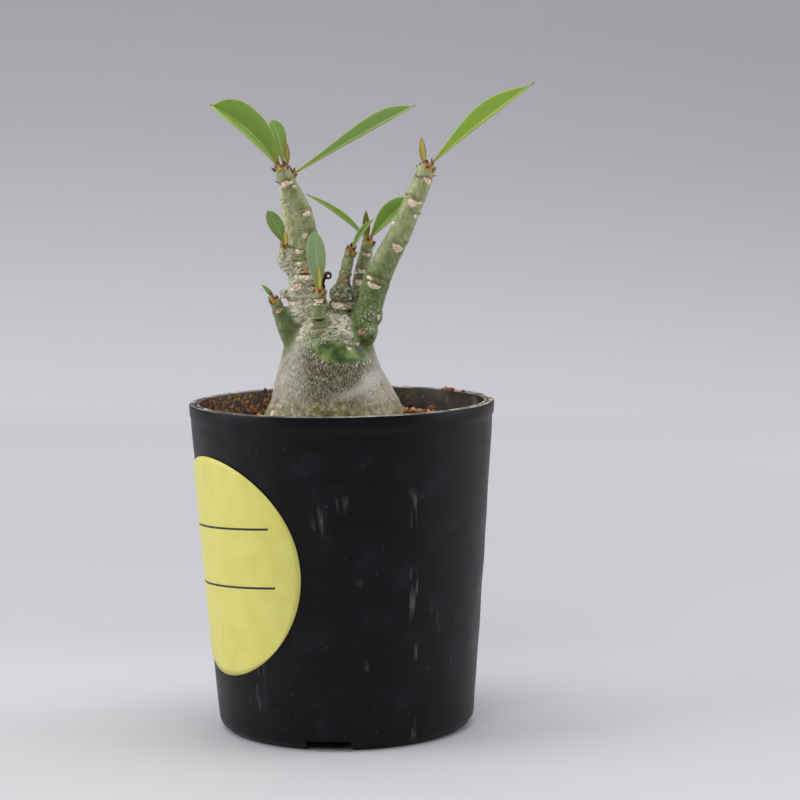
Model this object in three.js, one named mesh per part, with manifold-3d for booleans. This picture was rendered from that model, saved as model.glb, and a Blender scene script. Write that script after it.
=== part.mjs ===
// Potted desert rose: a young swollen-trunk plant in a tapered black nursery pot.
// Millimetres, +Z up. The origin is the centre of the pot's flat underside.
// -Y is the front of the plant, the side that shows most of its leaves.

import * as THREE from 'three';
import { mergeVertices } from 'three/addons/utils/BufferGeometryUtils.js';
import Module from 'manifold-3d';

const wasm = await Module();
wasm.setup();

// ---- Driving dimensions ------------------------------------------------

const GAP = 0.3;                 // clearance between neighbouring pieces

const POT_HEIGHT = 96.8;
const POT_RIM_RADIUS = 45;
const POT_BASE_RADIUS = 37.7;
const POT_WALL = 1.4;
const POT_FLOOR = 4;             // inside floor above the underside
const POT_CORNER = 4;            // rounding between underside and wall
const RIM_DEPTH = 4.0;           // height of the thickened lip
const RIM_WIDTH = 2.9;           // width of the lip's flat top
const CHANNEL_WIDTH = 13;        // drainage channels across the underside
const CHANNEL_HEIGHT = 3;
const CHANNEL_START = 13;        // radius where a channel begins
const CHANNEL_TURN = 8.5;        // degrees, how far the channels turn from the axes
const CHANNELS = 4;
const DRAIN_RADIUS = 4.5;
const DRAIN_CENTRE = 24;

const LABEL_RADIUS = 32;
const LABEL_THICKNESS = 0.2;
const LABEL_HEIGHT = 51.4;       // centre of the label above the underside
const LABEL_TURN = -61.3;        // degrees from the front, towards -X

const SOIL_LEVEL = 89.2;
const SOIL_MOUND = 1.8;          // rise of the soil towards the plant
const LOOSE_STONES = 9;
const HEAP = [[21.6, 11.6, 92.6, 1.3], [24.4, 9.4, 92.4, 1.1], [20.6, 14.2, 94.4, 1.0]]; // X, Y, Z, size

const LEAF_THICKNESS = 0.7;

// ---- Colours -----------------------------------------------------------

const COLOURS = {
  pot: 0x17171a,
  label: 0xd3cb74,
  soil: 0x6a4326,
  stone: 0x9a6a42,
  caudex: 0x8f8672,
  branch: 0x6d7553,
  oldBranch: 0x8b8c74,
  bud: 0x7a4a2c,
  leaf: 0x74904a,
  paleLeaf: 0x93a87c,
  youngLeaf: 0xa58a45,
};

// ---- The plant ---------------------------------------------------------

// The swollen trunk as rings from the root tip up: height, radius, axis offset in X.
const CAUDEX_RINGS = [
  [44, 1.5, -2], [50, 5, -2], [60, 9.5, -2.4], [72, 14, -2.4], [83, 18, -2.2],
  [90, 20.6, -2], [94, 20.2, -2], [98, 18.4, -2.2], [102, 17.1, -2.9],
  [106, 15.3, -3.4], [110, 14.1, -3.6], [114, 12.9, -3.7], [118, 12.4, -3.2],
  [121, 11.4, -2.6], [124, 8.2, -2.2], [125.5, 3.5, -2],
];
const CAUDEX_DEPTH = 0.92;       // front-to-back size over side-to-side size

// Old corky trunk that rises from the left of the head.
const OLD_TRUNK = {
  route: [[-8.6, 0.5, 114], [-9.4, 0.5, 121], [-10, 0.3, 129], [-10.2, 0, 137], [-10.2, -0.4, 144]],
  radii: [6.6, 6.2, 5.5, 4.5, 3.6],
};

// Corky lumps where old leaves and shoots have dropped.
const LUMPS = [
  { at: [-16.2, -1, 128.6], radius: 1.7 },
  { at: [-13.8, -3, 123.6], radius: 2.6 },
  { at: [-3.5, -7.5, 121.5], radius: 3.2 },
  { at: [-5.6, -2.5, 133.5], radius: 1.8 },
  { at: [5.2, 5, 123.5], radius: 4 },
];

// Each stem is a tapering round shoot along its own route.
const STEMS = [
  {
    name: 'right_branch', colour: 'branch',
    route: [[4.8, -4, 115], [7.2, -4.8, 121.5], [9.8, -5, 130.3], [13.3, -5, 138], [17.4, -5, 145.3],
      [21, -5, 153.4], [24.7, -5, 161.8], [25.4, -5, 164.4]],
    radii: [4.4, 4.2, 4.0, 3.7, 3.4, 3.2, 3.0, 2.7],
  },
  {
    name: 'left_front_branch', colour: 'branch',
    route: [[-10.2, -1, 141.5], [-9.4, -1, 146], [-10.5, -1, 152], [-13, -1, 157.5], [-15.5, -1, 162.6],
      [-16.3, -1, 165.2]],
    radii: [3.4, 3.2, 2.9, 2.8, 2.6, 2.3],
  },
  {
    name: 'left_rear_branch', colour: 'oldBranch',
    route: [[-11.5, 3.4, 135], [-13, 4.6, 141], [-13.9, 5.4, 147], [-15.2, 5.8, 155], [-15, 5.8, 160],
      [-14.4, 5.8, 163.2]],
    radii: [2.8, 2.6, 2.4, 2.2, 2, 1.8],
  },
  {
    name: 'mid_front_shoot', colour: 'oldBranch',
    route: [[-0.6, -2, 120], [0, -3, 127], [0.9, -3, 131.5], [1.9, -3, 135.6], [2.9, -3, 140]],
    radii: [3.2, 2.6, 2.0, 1.8, 1.7],
  },
  {
    name: 'mid_rear_shoot', colour: 'branch',
    route: [[5.2, 5, 120], [5.8, 6, 130], [6.4, 6, 135], [7.8, 6, 139.6], [8.4, 6, 142.6]],
    radii: [2.8, 2.4, 2.2, 2.1, 1.9],
  },
  {
    name: 'front_shoot', colour: 'oldBranch',
    route: [[-6.2, -6.4, 118], [-6.3, -10, 122.6], [-6, -10.6, 126], [-6, -10.6, 128.6]],
    radii: [2.4, 2.2, 2, 1.8],
  },
  {
    name: 'left_low_shoot', colour: 'oldBranch',
    route: [[-13.4, -3, 114.5], [-16, -4, 119], [-17.4, -4, 122.6], [-18.9, -4, 126.4]],
    radii: [3.4, 2.8, 2.4, 1.8],
  },
  {
    name: 'left_knob_shoot', colour: 'oldBranch',
    route: [[-12.4, -1, 134.8], [-16.4, -1, 138.6], [-15.8, -1, 142]],
    radii: [2.6, 2.4, 1.5],
  },
];

// A tuft of dry scales closes the tip of every stem, pointing along the last stretch.
const BUDS = [
  { name: 'right_branch_bud', at: [25.6, -5, 165.4], towards: [0.15, 0, 1], radius: 1.9, height: 3.2 },
  { name: 'left_front_bud', at: [-16.5, -1, 166], towards: [-0.2, 0, 1], radius: 1.7, height: 3 },
  { name: 'left_rear_bud', at: [-14.2, 6, 164], towards: [0.2, 0, 1], radius: 1.3, height: 2.6 },
  { name: 'mid_front_bud', at: [3, -3, 140.7], towards: [0.2, 0, 1], radius: 1.3, height: 2.6 },
  { name: 'mid_rear_bud', at: [8.5, 6, 143.3], towards: [0.1, 0, 1], radius: 1.5, height: 2.6 },
  { name: 'front_bud', at: [-6, -10.6, 129.3], towards: [0, -0.1, 1], radius: 1.2, height: 2.4 },
  { name: 'left_low_bud', at: [-19.5, -4, 127.6], towards: [-0.3, 0, 1], radius: 1.1, height: 2 },
  { name: 'left_knob_bud', at: [-15.8, -1, 142.6], towards: [-0.1, 0, 1], radius: 1.1, height: 2.2 },
];

// Each leaf is a folded blade from base to tip, bowed through a middle point. fold is how far each
// half lifts from flat, facing is where the upper side looks, belly is where the blade is widest,
// and tip runs from 1, pointed, to 2, round.
const LEAVES = [
  {
    name: 'left_top_leaf', colour: 'leaf', width: 15, fold: 44, belly: 0.68, tip: 1.6,
    facing: [0.38, -0.82, 0.43], route: [[-17.9, -1, 167.6], [-24.6, -2.4, 176.8], [-36.2, -4, 184.2]],
  },
  {
    name: 'left_back_leaf', colour: 'leaf', width: 5.6, fold: 15, belly: 0.68, tip: 1.8,
    facing: [0.2, -0.9, 0.2], route: [[-16.1, 1.4, 168.4], [-16.7, 2.2, 175], [-19.4, 3.6, 179.6]],
  },
  {
    name: 'left_young_leaf', colour: 'youngLeaf', width: 1.9, fold: 35, belly: 0.4, tip: 1.1,
    facing: [0.3, -0.9, 0.1], route: [[-14.9, -1.8, 168], [-14.5, -2, 170.7], [-15.5, -2, 174.2]],
  },
  {
    name: 'rear_long_leaf', colour: 'leaf', width: 9.4, fold: 44, belly: 0.7, tip: 1.3,
    facing: [-0.3, -0.75, 0.6], route: [[-12.7, 6, 165.4], [9.4, 9.2, 175.8], [23.3, 13, 183.3]],
  },
  {
    name: 'right_long_leaf', colour: 'paleLeaf', width: 10.8, fold: 44, belly: 0.62, tip: 1.0,
    facing: [-0.35, -0.82, 0.45], route: [[28.2, -5, 167.6], [40.1, -5, 176.4], [57.4, -5, 189.2]],
  },
  {
    name: 'right_young_leaf', colour: 'youngLeaf', width: 2.5, fold: 35, belly: 0.5, tip: 1.1,
    facing: [0, -1, 0.1], route: [[24.8, -5.8, 167], [24.6, -6.2, 170.4], [24.3, -6, 174]],
  },
  {
    name: 'mid_slender_leaf', colour: 'paleLeaf', width: 3.8, fold: 44, belly: 0.5, tip: 1.1,
    facing: [0.45, -0.6, 0.65], route: [[7.8, 4.4, 145], [0.6, 2.4, 151.6], [-9.3, 0.2, 157.8]],
  },
  {
    name: 'mid_broad_leaf', colour: 'leaf', width: 9, fold: 44, belly: 0.55, tip: 1.7,
    facing: [-0.3, -0.85, 0.45], route: [[9.8, 7, 145.4], [15.3, 9.4, 150.6], [21.8, 12, 156]],
  },
  {
    name: 'mid_bud_leaf', colour: 'youngLeaf', width: 2.7, fold: 30, belly: 0.42, tip: 1.1,
    facing: [0, -1, 0.1], route: [[8, 4.4, 145.4], [7.9, 4, 149], [8.1, 3.8, 152.6]],
  },
  {
    name: 'mid_folded_leaf', colour: 'paleLeaf', width: 3.2, fold: 44, belly: 0.5, tip: 1.2,
    facing: [-0.4, -0.8, 0.4], route: [[4, -3.6, 142.4], [6.6, -4, 146.8], [10, -4, 150.3]],
  },
  {
    name: 'front_broad_leaf', colour: 'paleLeaf', width: 6.1, fold: 14, belly: 0.62, tip: 2,
    facing: [0.05, -1, 0.15], route: [[-6.2, -10.8, 131], [-6.6, -12.4, 139.5], [-7.2, -11.4, 147.6]],
  },
  {
    name: 'front_young_leaf', colour: 'youngLeaf', width: 1.8, fold: 28, belly: 0.4, tip: 1.1,
    facing: [0, -1, 0.1], route: [[-5.9, -12, 130.6], [-5.9, -13.2, 133.6], [-5.8, -13.4, 137.6]],
  },
  {
    name: 'knob_leaf', colour: 'leaf', width: 5, fold: 18, belly: 0.66, tip: 2,
    facing: [0.25, -0.95, 0.1], route: [[-16, -1, 144], [-17.8, -1.5, 148.2], [-21, -1.4, 153.2]],
  },
  {
    name: 'knob_young_leaf', colour: 'youngLeaf', width: 2, fold: 30, belly: 0.4, tip: 1.1,
    facing: [0, -1, 0.1], route: [[-15.6, -2, 143.6], [-15.6, -2.7, 145.2], [-15.9, -2.7, 147.4]],
  },
  {
    name: 'low_leaf', colour: 'leaf', width: 2.0, fold: 25, belly: 0.5, tip: 1.3,
    facing: [0.5, -0.8, 0.3], route: [[-19.6, -4, 128], [-21, -4, 129.8], [-22.8, -4, 131.6]],
  },
];

// ---- Geometry helpers --------------------------------------------------

const radians = THREE.MathUtils.degToRad;
const vector = (list) => new THREE.Vector3(...list);

// Moves every vertex of a geometry through a function of its position.
function reshape(geometry, move) {
  const places = geometry.attributes.position;
  const point = new THREE.Vector3();
  for (let i = 0; i < places.count; i += 1) {
    point.fromBufferAttribute(places, i);
    const moved = move(point);
    places.setXYZ(i, moved.x, moved.y, moved.z);
  }
  return geometry;
}

// A solid of revolution about +Z from [radius, height] pairs.
function lathe(profile, sides) {
  const points = profile.map(([radius, height]) => new THREE.Vector2(radius, height));
  return new THREE.LatheGeometry(points, sides).rotateX(Math.PI / 2);
}

// The part of a closed surface that booleans need: shared corners, faces out.
function solid(geometry) {
  const bare = geometry.clone();
  bare.deleteAttribute('normal');
  bare.deleteAttribute('uv');
  const merged = mergeVertices(bare, 1e-4);
  const corners = merged.attributes.position.array;
  const faces = Array.from(merged.index.array);
  const a = new THREE.Vector3();
  const b = new THREE.Vector3();
  const c = new THREE.Vector3();
  const kept = [];
  let volume = 0;
  for (let i = 0; i < faces.length; i += 3) {
    const [p, q, r] = faces.slice(i, i + 3);
    if (p !== q && q !== r && r !== p) {
      kept.push(p, q, r);
      a.fromArray(corners, p * 3);
      b.fromArray(corners, q * 3);
      c.fromArray(corners, r * 3);
      volume += a.dot(b.cross(c));
    }
  }
  const outward = volume < 0 ? kept.reverse() : kept;
  return new wasm.Manifold(new wasm.Mesh({
    numProp: 3,
    vertProperties: new Float32Array(corners),
    triVerts: new Uint32Array(outward),
  }));
}

// Turns a boolean result back into a geometry with flat-shaded faces.
function geometryOf(manifold) {
  const mesh = manifold.getMesh();
  const geometry = new THREE.BufferGeometry();
  geometry.setAttribute('position', new THREE.BufferAttribute(mesh.vertProperties, 3));
  geometry.setIndex(new THREE.BufferAttribute(mesh.triVerts, 1));
  geometry.computeVertexNormals();
  return geometry;
}

// The largest single body of a cut piece: slivers beyond a neighbour are dropped.
function largestBody(manifold) {
  const bodies = manifold.decompose();
  bodies.sort((one, other) => other.volume() - one.volume());
  return bodies[0];
}

// A round bar with domed ends, lathed straight and then bent along its route.
function bentBar({ route, radii }, grow, sides, rows) {
  const curve = new THREE.CatmullRomCurve3(route.map(vector));
  const length = curve.getLength();
  const dome = radii.at(-1) * 0.7;
  const radiusAt = (height) => {
    const place = THREE.MathUtils.clamp(height / length, 0, 1) * (radii.length - 1);
    const low = Math.min(Math.floor(place), radii.length - 2);
    return THREE.MathUtils.lerp(radii[low], radii[low + 1], place - low) + grow;
  };
  const profile = [[0, -grow]];
  for (let row = 0; row <= rows; row += 1) {
    const height = (length - dome) * row / rows;
    profile.push([radiusAt(height), row === 0 ? -grow : height]);
  }
  profile.push([radiusAt(length) * 0.75, length - dome * 0.35 + grow * 0.7]);
  profile.push([0, length + grow]);
  return reshape(lathe(profile, sides), ({ x, y, z }) => {
    const along = THREE.MathUtils.clamp(z / length, 0, 1);
    const tangent = curve.getTangentAt(along);
    const across = new THREE.Vector3(1, 0, 0).addScaledVector(tangent, -tangent.x).normalize();
    const around = new THREE.Vector3().crossVectors(tangent, across);
    return curve.getPointAt(along)
      .addScaledVector(tangent, z - along * length)
      .addScaledVector(across, x)
      .addScaledVector(around, y);
  });
}

// ---- Pot and label -----------------------------------------------------

const wallRadius = (height) => (
  THREE.MathUtils.lerp(POT_BASE_RADIUS, POT_RIM_RADIUS, height / POT_HEIGHT)
);
const innerRadius = (height) => wallRadius(height) - POT_WALL;

function potSolid() {
  const profile = [[0, 0], [POT_BASE_RADIUS - POT_CORNER, 0]];
  for (let step = 1; step <= 4; step += 1) {
    const turn = radians(90 * step / 4);
    const height = POT_CORNER * (1 - Math.cos(turn));
    profile.push([wallRadius(height) - POT_CORNER * (1 - Math.sin(turn)), height]);
  }
  profile.push([wallRadius(POT_HEIGHT / 2), POT_HEIGHT / 2]);
  profile.push([wallRadius(POT_HEIGHT - RIM_DEPTH) - 0.3, POT_HEIGHT - RIM_DEPTH]);
  profile.push([POT_RIM_RADIUS, POT_HEIGHT - RIM_DEPTH + 0.6]);
  profile.push([POT_RIM_RADIUS, POT_HEIGHT - 0.5], [POT_RIM_RADIUS - 0.5, POT_HEIGHT]);
  profile.push([POT_RIM_RADIUS - RIM_WIDTH, POT_HEIGHT]);
  profile.push([innerRadius(POT_HEIGHT - RIM_DEPTH) - 0.3, POT_HEIGHT - RIM_DEPTH - 0.8]);
  profile.push([innerRadius(POT_FLOOR + 3), POT_FLOOR + 3]);
  profile.push([innerRadius(POT_FLOOR) - 3, POT_FLOOR], [0, POT_FLOOR]);
  let pot = solid(lathe(profile, 64));
  for (let i = 0; i < CHANNELS; i += 1) {
    const turn = radians(-90 - CHANNEL_TURN + 360 * i / CHANNELS);
    const length = POT_BASE_RADIUS + 5 - CHANNEL_START;
    const channel = new THREE.BoxGeometry(length, CHANNEL_WIDTH, CHANNEL_HEIGHT * 2);
    channel.translate(CHANNEL_START + length / 2, 0, 0).rotateZ(turn);
    const drain = new THREE.CylinderGeometry(DRAIN_RADIUS, DRAIN_RADIUS, POT_FLOOR * 3, 20);
    drain.rotateX(Math.PI / 2).translate(DRAIN_CENTRE, 0, 0).rotateZ(turn);
    pot = pot.subtract(solid(channel)).subtract(solid(drain));
  }
  return pot;
}

// A thin round label, flat when cut and then wrapped round the tapering wall.
function labelSolid() {
  const rings = [0, 0.35, 0.7, 1].map((share) => share * LABEL_RADIUS);
  const back = rings.map((radius) => [radius, 0]);
  const front = rings.map((radius) => [radius, LABEL_THICKNESS]).reverse();
  const middle = wallRadius(LABEL_HEIGHT);
  return solid(reshape(lathe([...back, ...front], 36), ({ x, y, z }) => {
    const turn = radians(-90 + LABEL_TURN) + x / middle;
    const height = LABEL_HEIGHT + y;
    const radius = wallRadius(height) + GAP + z;
    return new THREE.Vector3(radius * Math.cos(turn), radius * Math.sin(turn), height);
  }));
}

// ---- Plant and soil ----------------------------------------------------

// The whole woody base, with its buried taper, head, old trunk and lumps.
function caudexSolid(grow) {
  const axis = new THREE.CatmullRomCurve3(CAUDEX_RINGS.map(([z, , x]) => new THREE.Vector3(x, 0, z)));
  const profile = CAUDEX_RINGS.map(([z, radius]) => [radius + grow, z]);
  profile.unshift([0, CAUDEX_RINGS[0][0] - grow]);
  profile.push([0, CAUDEX_RINGS.at(-1)[0] + 0.5 + grow]);
  const lowest = CAUDEX_RINGS[0][0];
  const highest = CAUDEX_RINGS.at(-1)[0];
  const leaned = reshape(lathe(profile, 28), ({ x, y, z }) => {
    const along = THREE.MathUtils.clamp((z - lowest) / (highest - lowest), 0, 1);
    return new THREE.Vector3(x + axis.getPointAt(along).x, y * CAUDEX_DEPTH, z);
  });
  let body = solid(leaned).add(solid(bentBar(OLD_TRUNK, grow, 16, 6)));
  for (const { at, radius } of LUMPS) {
    const lump = new THREE.SphereGeometry(radius + grow, 10, 7).translate(...at);
    body = body.add(solid(lump));
  }
  return body;
}

function stemSolid(stem, grow) {
  return solid(bentBar(stem, grow, 12, stem.route.length + 2));
}

// A cone of scales with a rounded foot, turned to point along the shoot.
function budSolid({ at, towards, radius, height }, grow) {
  const profile = [
    [0, -0.6 - grow], [radius * 0.8 + grow, -0.5 - grow], [radius + grow, 0.4],
    [radius * 0.75 + grow, height * 0.55], [0.35 + grow, height], [0, height + 0.15 + grow],
  ];
  const bud = lathe(profile, 10);
  const turn = new THREE.Quaternion();
  turn.setFromUnitVectors(new THREE.Vector3(0, 0, 1), vector(towards).normalize());
  return solid(bud.applyQuaternion(turn).translate(...at));
}

// Half-width of a blade as a share of its widest: a narrow foot, a broad belly, and its own tip.
function bladeShare(along, belly, tip) {
  if (along < belly) {
    return Math.sin(Math.PI / 2 * along / belly) ** 1.4;
  }
  return (1 - ((along - belly) / (1 - belly)) ** 2) ** (1 / tip);
}

function leafSolid({ route, width, fold, facing, belly, tip }, grow) {
  const curve = new THREE.QuadraticBezierCurve3(...route.map(vector));
  const lift = radians(fold);
  const [lengthwise, crosswise] = width > 4 ? [8, 4] : [6, 2];
  const narrowest = 0.45;
  const blade = new THREE.BoxGeometry(1, 2, 1, lengthwise, crosswise, 1);
  return solid(reshape(blade, ({ x, y, z }) => {
    const along = THREE.MathUtils.clamp(x + 0.5, 0, 1);
    const tangent = curve.getTangentAt(along);
    const look = vector(facing);
    const up = look.clone().addScaledVector(tangent, -look.dot(tangent)).normalize();
    const side = new THREE.Vector3().crossVectors(tangent, up);
    const half = narrowest + (width / 2 - narrowest) * bladeShare(along, belly, tip) + grow;
    const rise = half * Math.abs(y) * Math.sin(lift) + z * (LEAF_THICKNESS + 2 * grow);
    return curve.getPointAt(along)
      .addScaledVector(side, half * y * Math.cos(lift))
      .addScaledVector(up, rise)
      .addScaledVector(tangent, (along - 0.5) * 2 * grow);
  }));
}

// Potting mix fills the pot to just under the lip and mounds up towards the plant.
function soilSolid() {
  const inside = (height) => innerRadius(height) - GAP;
  const foot = POT_FLOOR + GAP;
  return solid(lathe([
    [0, foot], [inside(foot) - 3.2, foot], [inside(foot + 3.2), foot + 3.2],
    [inside(SOIL_LEVEL), SOIL_LEVEL], [34, SOIL_LEVEL + SOIL_MOUND * 0.3],
    [26, SOIL_LEVEL + SOIL_MOUND], [0, SOIL_LEVEL + SOIL_MOUND],
  ], 48));
}

// A loose stone: a rough twelve-faced lump.
function stoneSolid([x, y, z, size], turn) {
  const stone = new THREE.DodecahedronGeometry(size, 0);
  stone.rotateX(turn).rotateY(turn * 2).scale(1, 0.9, 0.8);
  return solid(stone.translate(x, y, z));
}

// Where the stones lie: a small heap beside the trunk, and the rest spread by the golden angle
// over the back and the sides.
function stonePlaces() {
  const places = [...HEAP];
  for (let i = 0; i < LOOSE_STONES; i += 1) {
    const size = 1.1 + 0.8 * ((i * 0.382) % 1);
    const turn = radians(-20 + 230 * ((i * 0.618) % 1));
    const reach = 28 + 10 * ((i * 0.755) % 1);
    places.push([
      reach * Math.cos(turn), reach * Math.sin(turn), SOIL_LEVEL + SOIL_MOUND * 0.9 + size * 0.8 + GAP, size,
    ]);
  }
  return places;
}

// ---- Assembly ----------------------------------------------------------

const plant = new THREE.Group();
const placed = [];

const boxesMeet = (one, other) => {
  const a = one.boundingBox();
  const b = other.boundingBox();
  return [0, 1, 2].every((axis) => a.min[axis] < b.max[axis] && b.min[axis] < a.max[axis]);
};

// Adds a named piece, cut back to stand clear of every piece placed before it.
function place(name, build, colour, roughness = 0.6) {
  let body = build(0);
  for (const neighbour of placed) {
    if (boxesMeet(body, neighbour.grown)) {
      body = largestBody(body.subtract(neighbour.grown));
    }
  }
  const material = new THREE.MeshStandardMaterial({ color: COLOURS[colour], roughness, metalness: 0 });
  const mesh = new THREE.Mesh(geometryOf(body), material);
  mesh.name = name;
  plant.add(mesh);
  placed.push({ name, grown: build(GAP) });
}

place('caudex', caudexSolid, 'caudex', 0.7);
place('pot', potSolid, 'pot', 0.55);
place('round_label', labelSolid, 'label', 0.4);
place('potting_mix', soilSolid, 'soil', 0.95);
stonePlaces().forEach((spot, i) => {
  place(`stone_${i + 1}`, () => stoneSolid(spot, i), 'stone', 0.9);
});
for (const stem of STEMS) {
  place(stem.name, (grow) => stemSolid(stem, grow), stem.colour, 0.65);
}
for (const bud of BUDS) {
  place(bud.name, (grow) => budSolid(bud, grow), 'bud', 0.8);
}
for (const leaf of LEAVES) {
  place(leaf.name, (grow) => leafSolid(leaf, grow), leaf.colour, 0.45);
}

export default plant;
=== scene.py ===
# %% [markdown]
# # A potted desert rose
# A young desert rose is a swollen grey trunk with a few green branches, and it stands in a black nursery
# pot. The construction model already says where every piece is and how big it is. This lesson gives each
# of those pieces its living surface: bark, scars, scales, leaves, grit and moulded plastic.

# %% Load the construction model
import math
import random

import bmesh
import bpy
import numpy as np
from mathutils import Matrix, Quaternion, Vector, noise


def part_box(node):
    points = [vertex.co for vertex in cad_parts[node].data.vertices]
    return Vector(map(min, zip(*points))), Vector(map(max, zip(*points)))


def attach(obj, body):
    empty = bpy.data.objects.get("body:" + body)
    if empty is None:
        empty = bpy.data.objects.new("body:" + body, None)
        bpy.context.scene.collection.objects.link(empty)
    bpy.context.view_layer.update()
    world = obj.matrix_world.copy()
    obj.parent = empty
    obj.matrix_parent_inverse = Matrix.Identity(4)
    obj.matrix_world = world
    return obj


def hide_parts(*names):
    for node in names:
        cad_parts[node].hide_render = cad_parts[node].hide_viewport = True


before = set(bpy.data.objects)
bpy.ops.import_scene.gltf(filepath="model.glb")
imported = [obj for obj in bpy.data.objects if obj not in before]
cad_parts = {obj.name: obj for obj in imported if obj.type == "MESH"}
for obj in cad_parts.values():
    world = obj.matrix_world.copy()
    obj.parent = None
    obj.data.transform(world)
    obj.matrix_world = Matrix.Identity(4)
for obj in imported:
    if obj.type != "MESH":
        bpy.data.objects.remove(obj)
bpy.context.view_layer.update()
MM = 0.001
scene = bpy.context.scene
print("nodes in the frame:", len(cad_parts))

# %% [markdown]
# ## Helpers
# Colours are written as the hex values that a paint program shows, and one function turns them to the
# linear numbers that the renderer works in. One function adds a shader node with its settings and links,
# and one turns a finished bmesh into a piece that stands for its construction nodes. All measures are in
# metres, so a measure in millimetres is multiplied by MM.


# %% Colour and node helpers
def colour(code):
    """The linear colour of an sRGB hex code."""
    parts = [int(code[i:i + 2], 16) / 255 for i in (1, 3, 5)]
    linear = [c / 12.92 if c <= 0.04045 else ((c + 0.055) / 1.055) ** 2.4 for c in parts]
    return (*linear, 1.0)


def add_node(tree, kind, inputs=None, stops=None, **settings):
    """Adds a shader node. An input is a number, a hex colour, a socket, or a node for its first output."""
    node = tree.nodes.new("ShaderNode" + kind)
    for name, value in settings.items():
        setattr(node, name, value)
    for index, (place, tone) in enumerate(stops or ()):
        elements = node.color_ramp.elements
        element = elements[index] if index < 2 else elements.new(place)
        element.position = place
        element.color = colour(tone) if isinstance(tone, str) else (tone, tone, tone, 1)
    for key, value in (inputs or {}).items():
        live = [socket for socket in node.inputs if socket.enabled]
        socket = live[key] if isinstance(key, int) else next(s for s in live if s.name == key)
        if isinstance(value, bpy.types.Node):
            value = next(s for s in value.outputs if s.enabled)
        if isinstance(value, bpy.types.NodeSocket):
            tree.links.new(value, socket)
        else:
            socket.default_value = colour(value) if isinstance(value, str) else value
    return node


def new_material(name):
    """An empty material and its node tree."""
    material = bpy.data.materials.new(name)
    material.use_nodes = True
    material.node_tree.nodes.clear()
    return material, material.node_tree


print("colour and node helpers ready")


# %% Piece helpers
def object_from(bm, name, materials=()):
    """Turns a bmesh into a smooth-shaded object in the scene, and frees it."""
    mesh = bpy.data.meshes.new(name)
    bm.to_mesh(mesh)
    bm.free()
    for face in mesh.polygons:
        face.use_smooth = True
    for material in materials:
        mesh.materials.append(material)
    made = bpy.data.objects.new(name, mesh)
    scene.collection.objects.link(made)
    return made


def piece_from(bm, name, materials, stands_for=()):
    """A finished piece: it rides on the one body, and may stand for nodes of the construction model."""
    piece = object_from(bm, name, materials)
    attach(piece, "root")
    if stands_for:
        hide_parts(*stands_for)
    return piece


def parts_of(geometry, kind):
    """The vertices, edges or faces among what a bmesh operator returned."""
    return [part for part in geometry if isinstance(part, kind)]


def add_mesh_of(target, source):
    """Adds one bmesh to another, which is quicker than growing a large one shape by shape."""
    mesh = bpy.data.meshes.new("part")
    source.to_mesh(mesh)
    source.free()
    target.from_mesh(mesh)
    bpy.data.meshes.remove(mesh)


def bake_modifiers(piece):
    """Replaces a piece's mesh by what its modifiers make of it."""
    depsgraph = bpy.context.evaluated_depsgraph_get()
    mesh = bpy.data.meshes.new_from_object(piece.evaluated_get(depsgraph))
    piece.modifiers.clear()
    old = piece.data
    piece.data = mesh
    bpy.data.meshes.remove(old)


print("piece helpers ready")

# %% [markdown]
# ## Camera, backdrop and lights
# The plant is seen from a little above the rim, through a long lens, so the pot's sides stay nearly
# straight. It stands on a seamless sweep of pale grey paper, whose colour has the light's fall-off painted
# in, so it darkens gently upwards. Big soft lights at both sides draw a bright edge on the black pot and
# leave its front dark, as in a product studio. A light overhead and a weak one in front, which gives no
# reflection, open up the leaves.

# %% Camera
CAMERA_PLACE = (0, -0.75, 0.176)
CAMERA_LENS = 114.8
CAMERA_TURN = math.radians(-1.314)
CAMERA_DIP = math.radians(6.035)
CAMERA_ROLL = math.radians(-0.806)

scene.view_settings.view_transform = "Standard"
camera_data = bpy.data.cameras.new("camera")
camera_data.lens = CAMERA_LENS
camera_data.sensor_width = 36
camera_data.clip_start = 0.01
camera = bpy.data.objects.new("camera", camera_data)
scene.collection.objects.link(camera)
camera.matrix_world = (
    Matrix.Translation(CAMERA_PLACE)
    @ Matrix.Rotation(CAMERA_TURN, 4, "Z")
    @ Matrix.Rotation(math.radians(90) - CAMERA_DIP, 4, "X")
    @ Matrix.Rotation(CAMERA_ROLL, 4, "Z")
)
scene.camera = camera
print("camera at", tuple(round(c, 3) for c in camera.matrix_world.translation))

# %% Sweep of pale paper
SWEEP_WIDTH = 7.0
SWEEP_FRONT = 3.0
SWEEP_BACK = 0.75
SWEEP_CURVE = 0.45
SWEEP_RISE = 3.0


def backdrop_paper():
    """Matt, dull background paper with the light's fall-off painted into its colour: lighter and darker bands
    along the sweep, darkest high on the wall, and the wall a little darker to the right.
    """
    material, tree = new_material("matt background paper")
    place = add_node(tree, "TexCoord").outputs["Object"]
    parts = add_node(tree, "SeparateXYZ", {"Vector": place})
    reach = add_node(tree, "Math", {0: parts.outputs["Y"], 1: parts.outputs["Z"]}, operation="ADD")
    leaning = add_node(tree, "Math", {0: parts.outputs["X"], 1: 0.15, 2: reach}, operation="MULTIPLY_ADD")
    share = add_node(tree, "MapRange", {"Value": leaning, "From Min": -0.1, "From Max": 1.5})
    # Painted light: the ramp's tones along the sweep stand in for how the lamps' light falls off across the
    # paper.
    tone = add_node(tree, "ValToRGB", {"Fac": share}, stops=[
        (0.013, "#c3c4c7"), (0.075, "#c8c9cd"), (0.144, "#bcbdc1"), (0.281, "#bebfc3"),
        (0.362, "#c3c4c9"), (0.462, "#cccdd2"), (0.575, "#d0d1d6"), (0.644, "#cacad0"),
        (0.719, "#c0c0c6"), (0.787, "#b6b6bc"), (0.863, "#acabb1"), (0.956, "#a4a1a8"),
    ])
    shader = add_node(tree, "BsdfPrincipled", {
        "Base Color": tone, "Roughness": 0.9, "Specular IOR Level": 0.2,
    })
    add_node(tree, "OutputMaterial", {"Surface": shader})
    return material


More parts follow.
